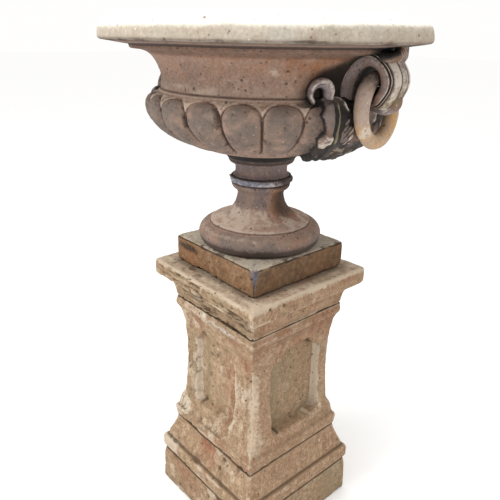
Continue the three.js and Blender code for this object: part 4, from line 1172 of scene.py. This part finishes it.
    # painted light on the leaf: the edge ridge, the ribbed strip's crests and the tip are paled partly as painted
    # highlight; where it lies low, in the channel, between the ribs, in the cut-out and along its lower part it is
    # darkened and blacked as painted shade, and the hidden back is made fully dark
    mk = masks(h.shape,
               pale=0.50 * patch_on * sstep(-0.35, 0.15, n1 + 0.2) + 0.62 * sstep(0.40, 0.80, strip_h / 6.0) * sstep(-0.25, 0.3, n1) + 0.75 * sstep(1.8, 3.4, ridge) + 0.6 * sstep(7, 13, tip + spine) * sstep(-0.4, 0.2, n1)
               + 0.35 * sstep(0.25, 0.55, n1) * sstep(120, 150, sb) + 0.2 * sstep(0.35, 0.6, n2),
               warm=0.35 * patch_on + 0.75 * fold_on * (1 - patch_on) * sstep(-0.2, 0.4, n2 + 0.1) * sstep(30, 60, sb) + 0.6 * sstep(4, 9, tip) * sstep(0, 0.3, n1) + 0.4 * band(F, 5, 12, 2) * band(sb, 60, 120, 10),
               cool=0.25 * fold_on + 0.15 * shoulder / 6.0, moss=0.95 * np.exp(-((F - 21.3) / 0.8) ** 2) * band(sb, 10, 110, 6) + 0.35 * sstep(0.1, 0.5, n2) * sstep(60, 120, sb),
               dirt=0.75 * low + 0.92 * band(sb, 84, 230, 8) * sstep(0.6, 0.0, n1) * (1 - patch_on) + 0.30 * fold_on * (1 - patch_on) + 0.45 * shoulder / 6.0 + 0.9 * band(F, 18.6, 23.4, 0.4) * (1 - np.exp(-((F - 21.3) / 0.8) ** 2)) * sstep(10, 20, sb) + 0.9 * sstep(0.5, 0.15, zig) * strip,
               soot=0.85 * low * (1 - 0.4 * sstep(0.1, 0.4, n2)) + 0.9 * cut + 0.45 * band(sb, 84, 230, 8) * sstep(0.4, -0.1, n2) * (1 - patch_on) + 0.5 * band(F, 18.6, 23.4, 0.4) * (1 - np.exp(-((F - 21.3) / 0.8) ** 2)) * sstep(10, 20, sb))
    mk = {key: np.concatenate([np.clip(val, 0, 1).ravel(), np.full(ns * na, 1.0 if key in ("dirt", "soot") else 0.0)]) for key, val in mk.items()}
    mixed_mesh(f"handle_{tag}_acanthus", P, np.concatenate([f1, f2, f3]), np.zeros((0, 3), int), mk, DARK, "urn", [f"handle_{tag}_leaf"])


for _tag, _az in HANDLES:
    scroll(_tag, _az)
    ring(_tag, _az)
    leaf(_tag, _az)
    curl(_tag, _az, -1, f"handle_{_tag}_curl_left")
    curl(_tag, _az, 1, f"handle_{_tag}_curl_right")

# ------------------------------------------------------------------ stage, lights, camera
bpy.ops.mesh.primitive_plane_add(size=60, location=(0, 0, -0.0005))
floor = bpy.context.object
floor.name = "floor"
fm = bpy.data.materials.new("floor_pale")
fm.use_nodes = True
fm.node_tree.nodes["Principled BSDF"].inputs["Base Color"].default_value = (0.98, 0.98, 0.98, 1)
fm.node_tree.nodes["Principled BSDF"].inputs["Roughness"].default_value = 0.95
fm.node_tree.nodes["Principled BSDF"].inputs["Specular IOR Level"].default_value = 0.0
floor.data.materials.append(fm)

world = bpy.data.worlds.new("studio")
bpy.context.scene.world = world
world.use_nodes = True
world.node_tree.nodes["Background"].inputs[0].default_value = (1.0, 0.995, 0.985, 1)
world.node_tree.nodes["Background"].inputs[1].default_value = 1.0


def area(name, loc, target, size, power, color=(1, 1, 1)):
    l = bpy.data.lights.new(name, "AREA")
    l.shape = "SQUARE"
    l.size = size
    l.energy = power
    l.color = color
    o = bpy.data.objects.new(name, l)
    bpy.context.scene.collection.objects.link(o)
    o.location = loc
    o.rotation_euler = (Vector(target) - Vector(loc)).to_track_quat("-Z", "Y").to_euler()
    return o


def polar(az_deg, r, z):
    a = CAM_AZ + math.radians(az_deg)
    return (r * math.cos(a), r * math.sin(a), z)


area("key", polar(-62, 2.6, 3.4), (0, 0, 0.8), 1.6, 70, (1.0, 0.99, 0.97))
area("top", polar(0, 0.6, 3.8), (0, 0, 1.2), 1.6, 40)

cam_d = bpy.data.cameras.new("camera")
cam = bpy.data.objects.new("camera", cam_d)
bpy.context.scene.collection.objects.link(cam)
bpy.context.scene.camera = cam
cam_d.sensor_width = 36.0
cam_d.sensor_fit = "HORIZONTAL"
cam_d.lens = 38.69
cam_d.clip_start, cam_d.clip_end = 0.05, 100
_th, _ro, _ps = math.radians(22.15), math.radians(1.14), math.radians(-1.04)
_fw = np.array([math.sin(_ps) * math.cos(_th), math.cos(_ps) * math.cos(_th), -math.sin(_th)])
_r = np.array([math.cos(_ps), -math.sin(_ps), 0.0])
_u = np.cross(_r, _fw)
_r2 = math.cos(_ro) * _r + math.sin(_ro) * _u
_u2 = -math.sin(_ro) * _r + math.cos(_ro) * _u
_g = math.radians(47.5)
_G = np.array([[math.cos(_g), -math.sin(_g), 0], [math.sin(_g), math.cos(_g), 0], [0, 0, 1]])
_r2, _u2, _fw = _G @ _r2, _G @ _u2, _G @ _fw
_loc = _G @ np.array([0, -1.245, 1.253])
cam.matrix_world = Matrix(((_r2[0], _u2[0], -_fw[0], _loc[0]), (_r2[1], _u2[1], -_fw[1], _loc[1]), (_r2[2], _u2[2], -_fw[2], _loc[2]), (0, 0, 0, 1)))
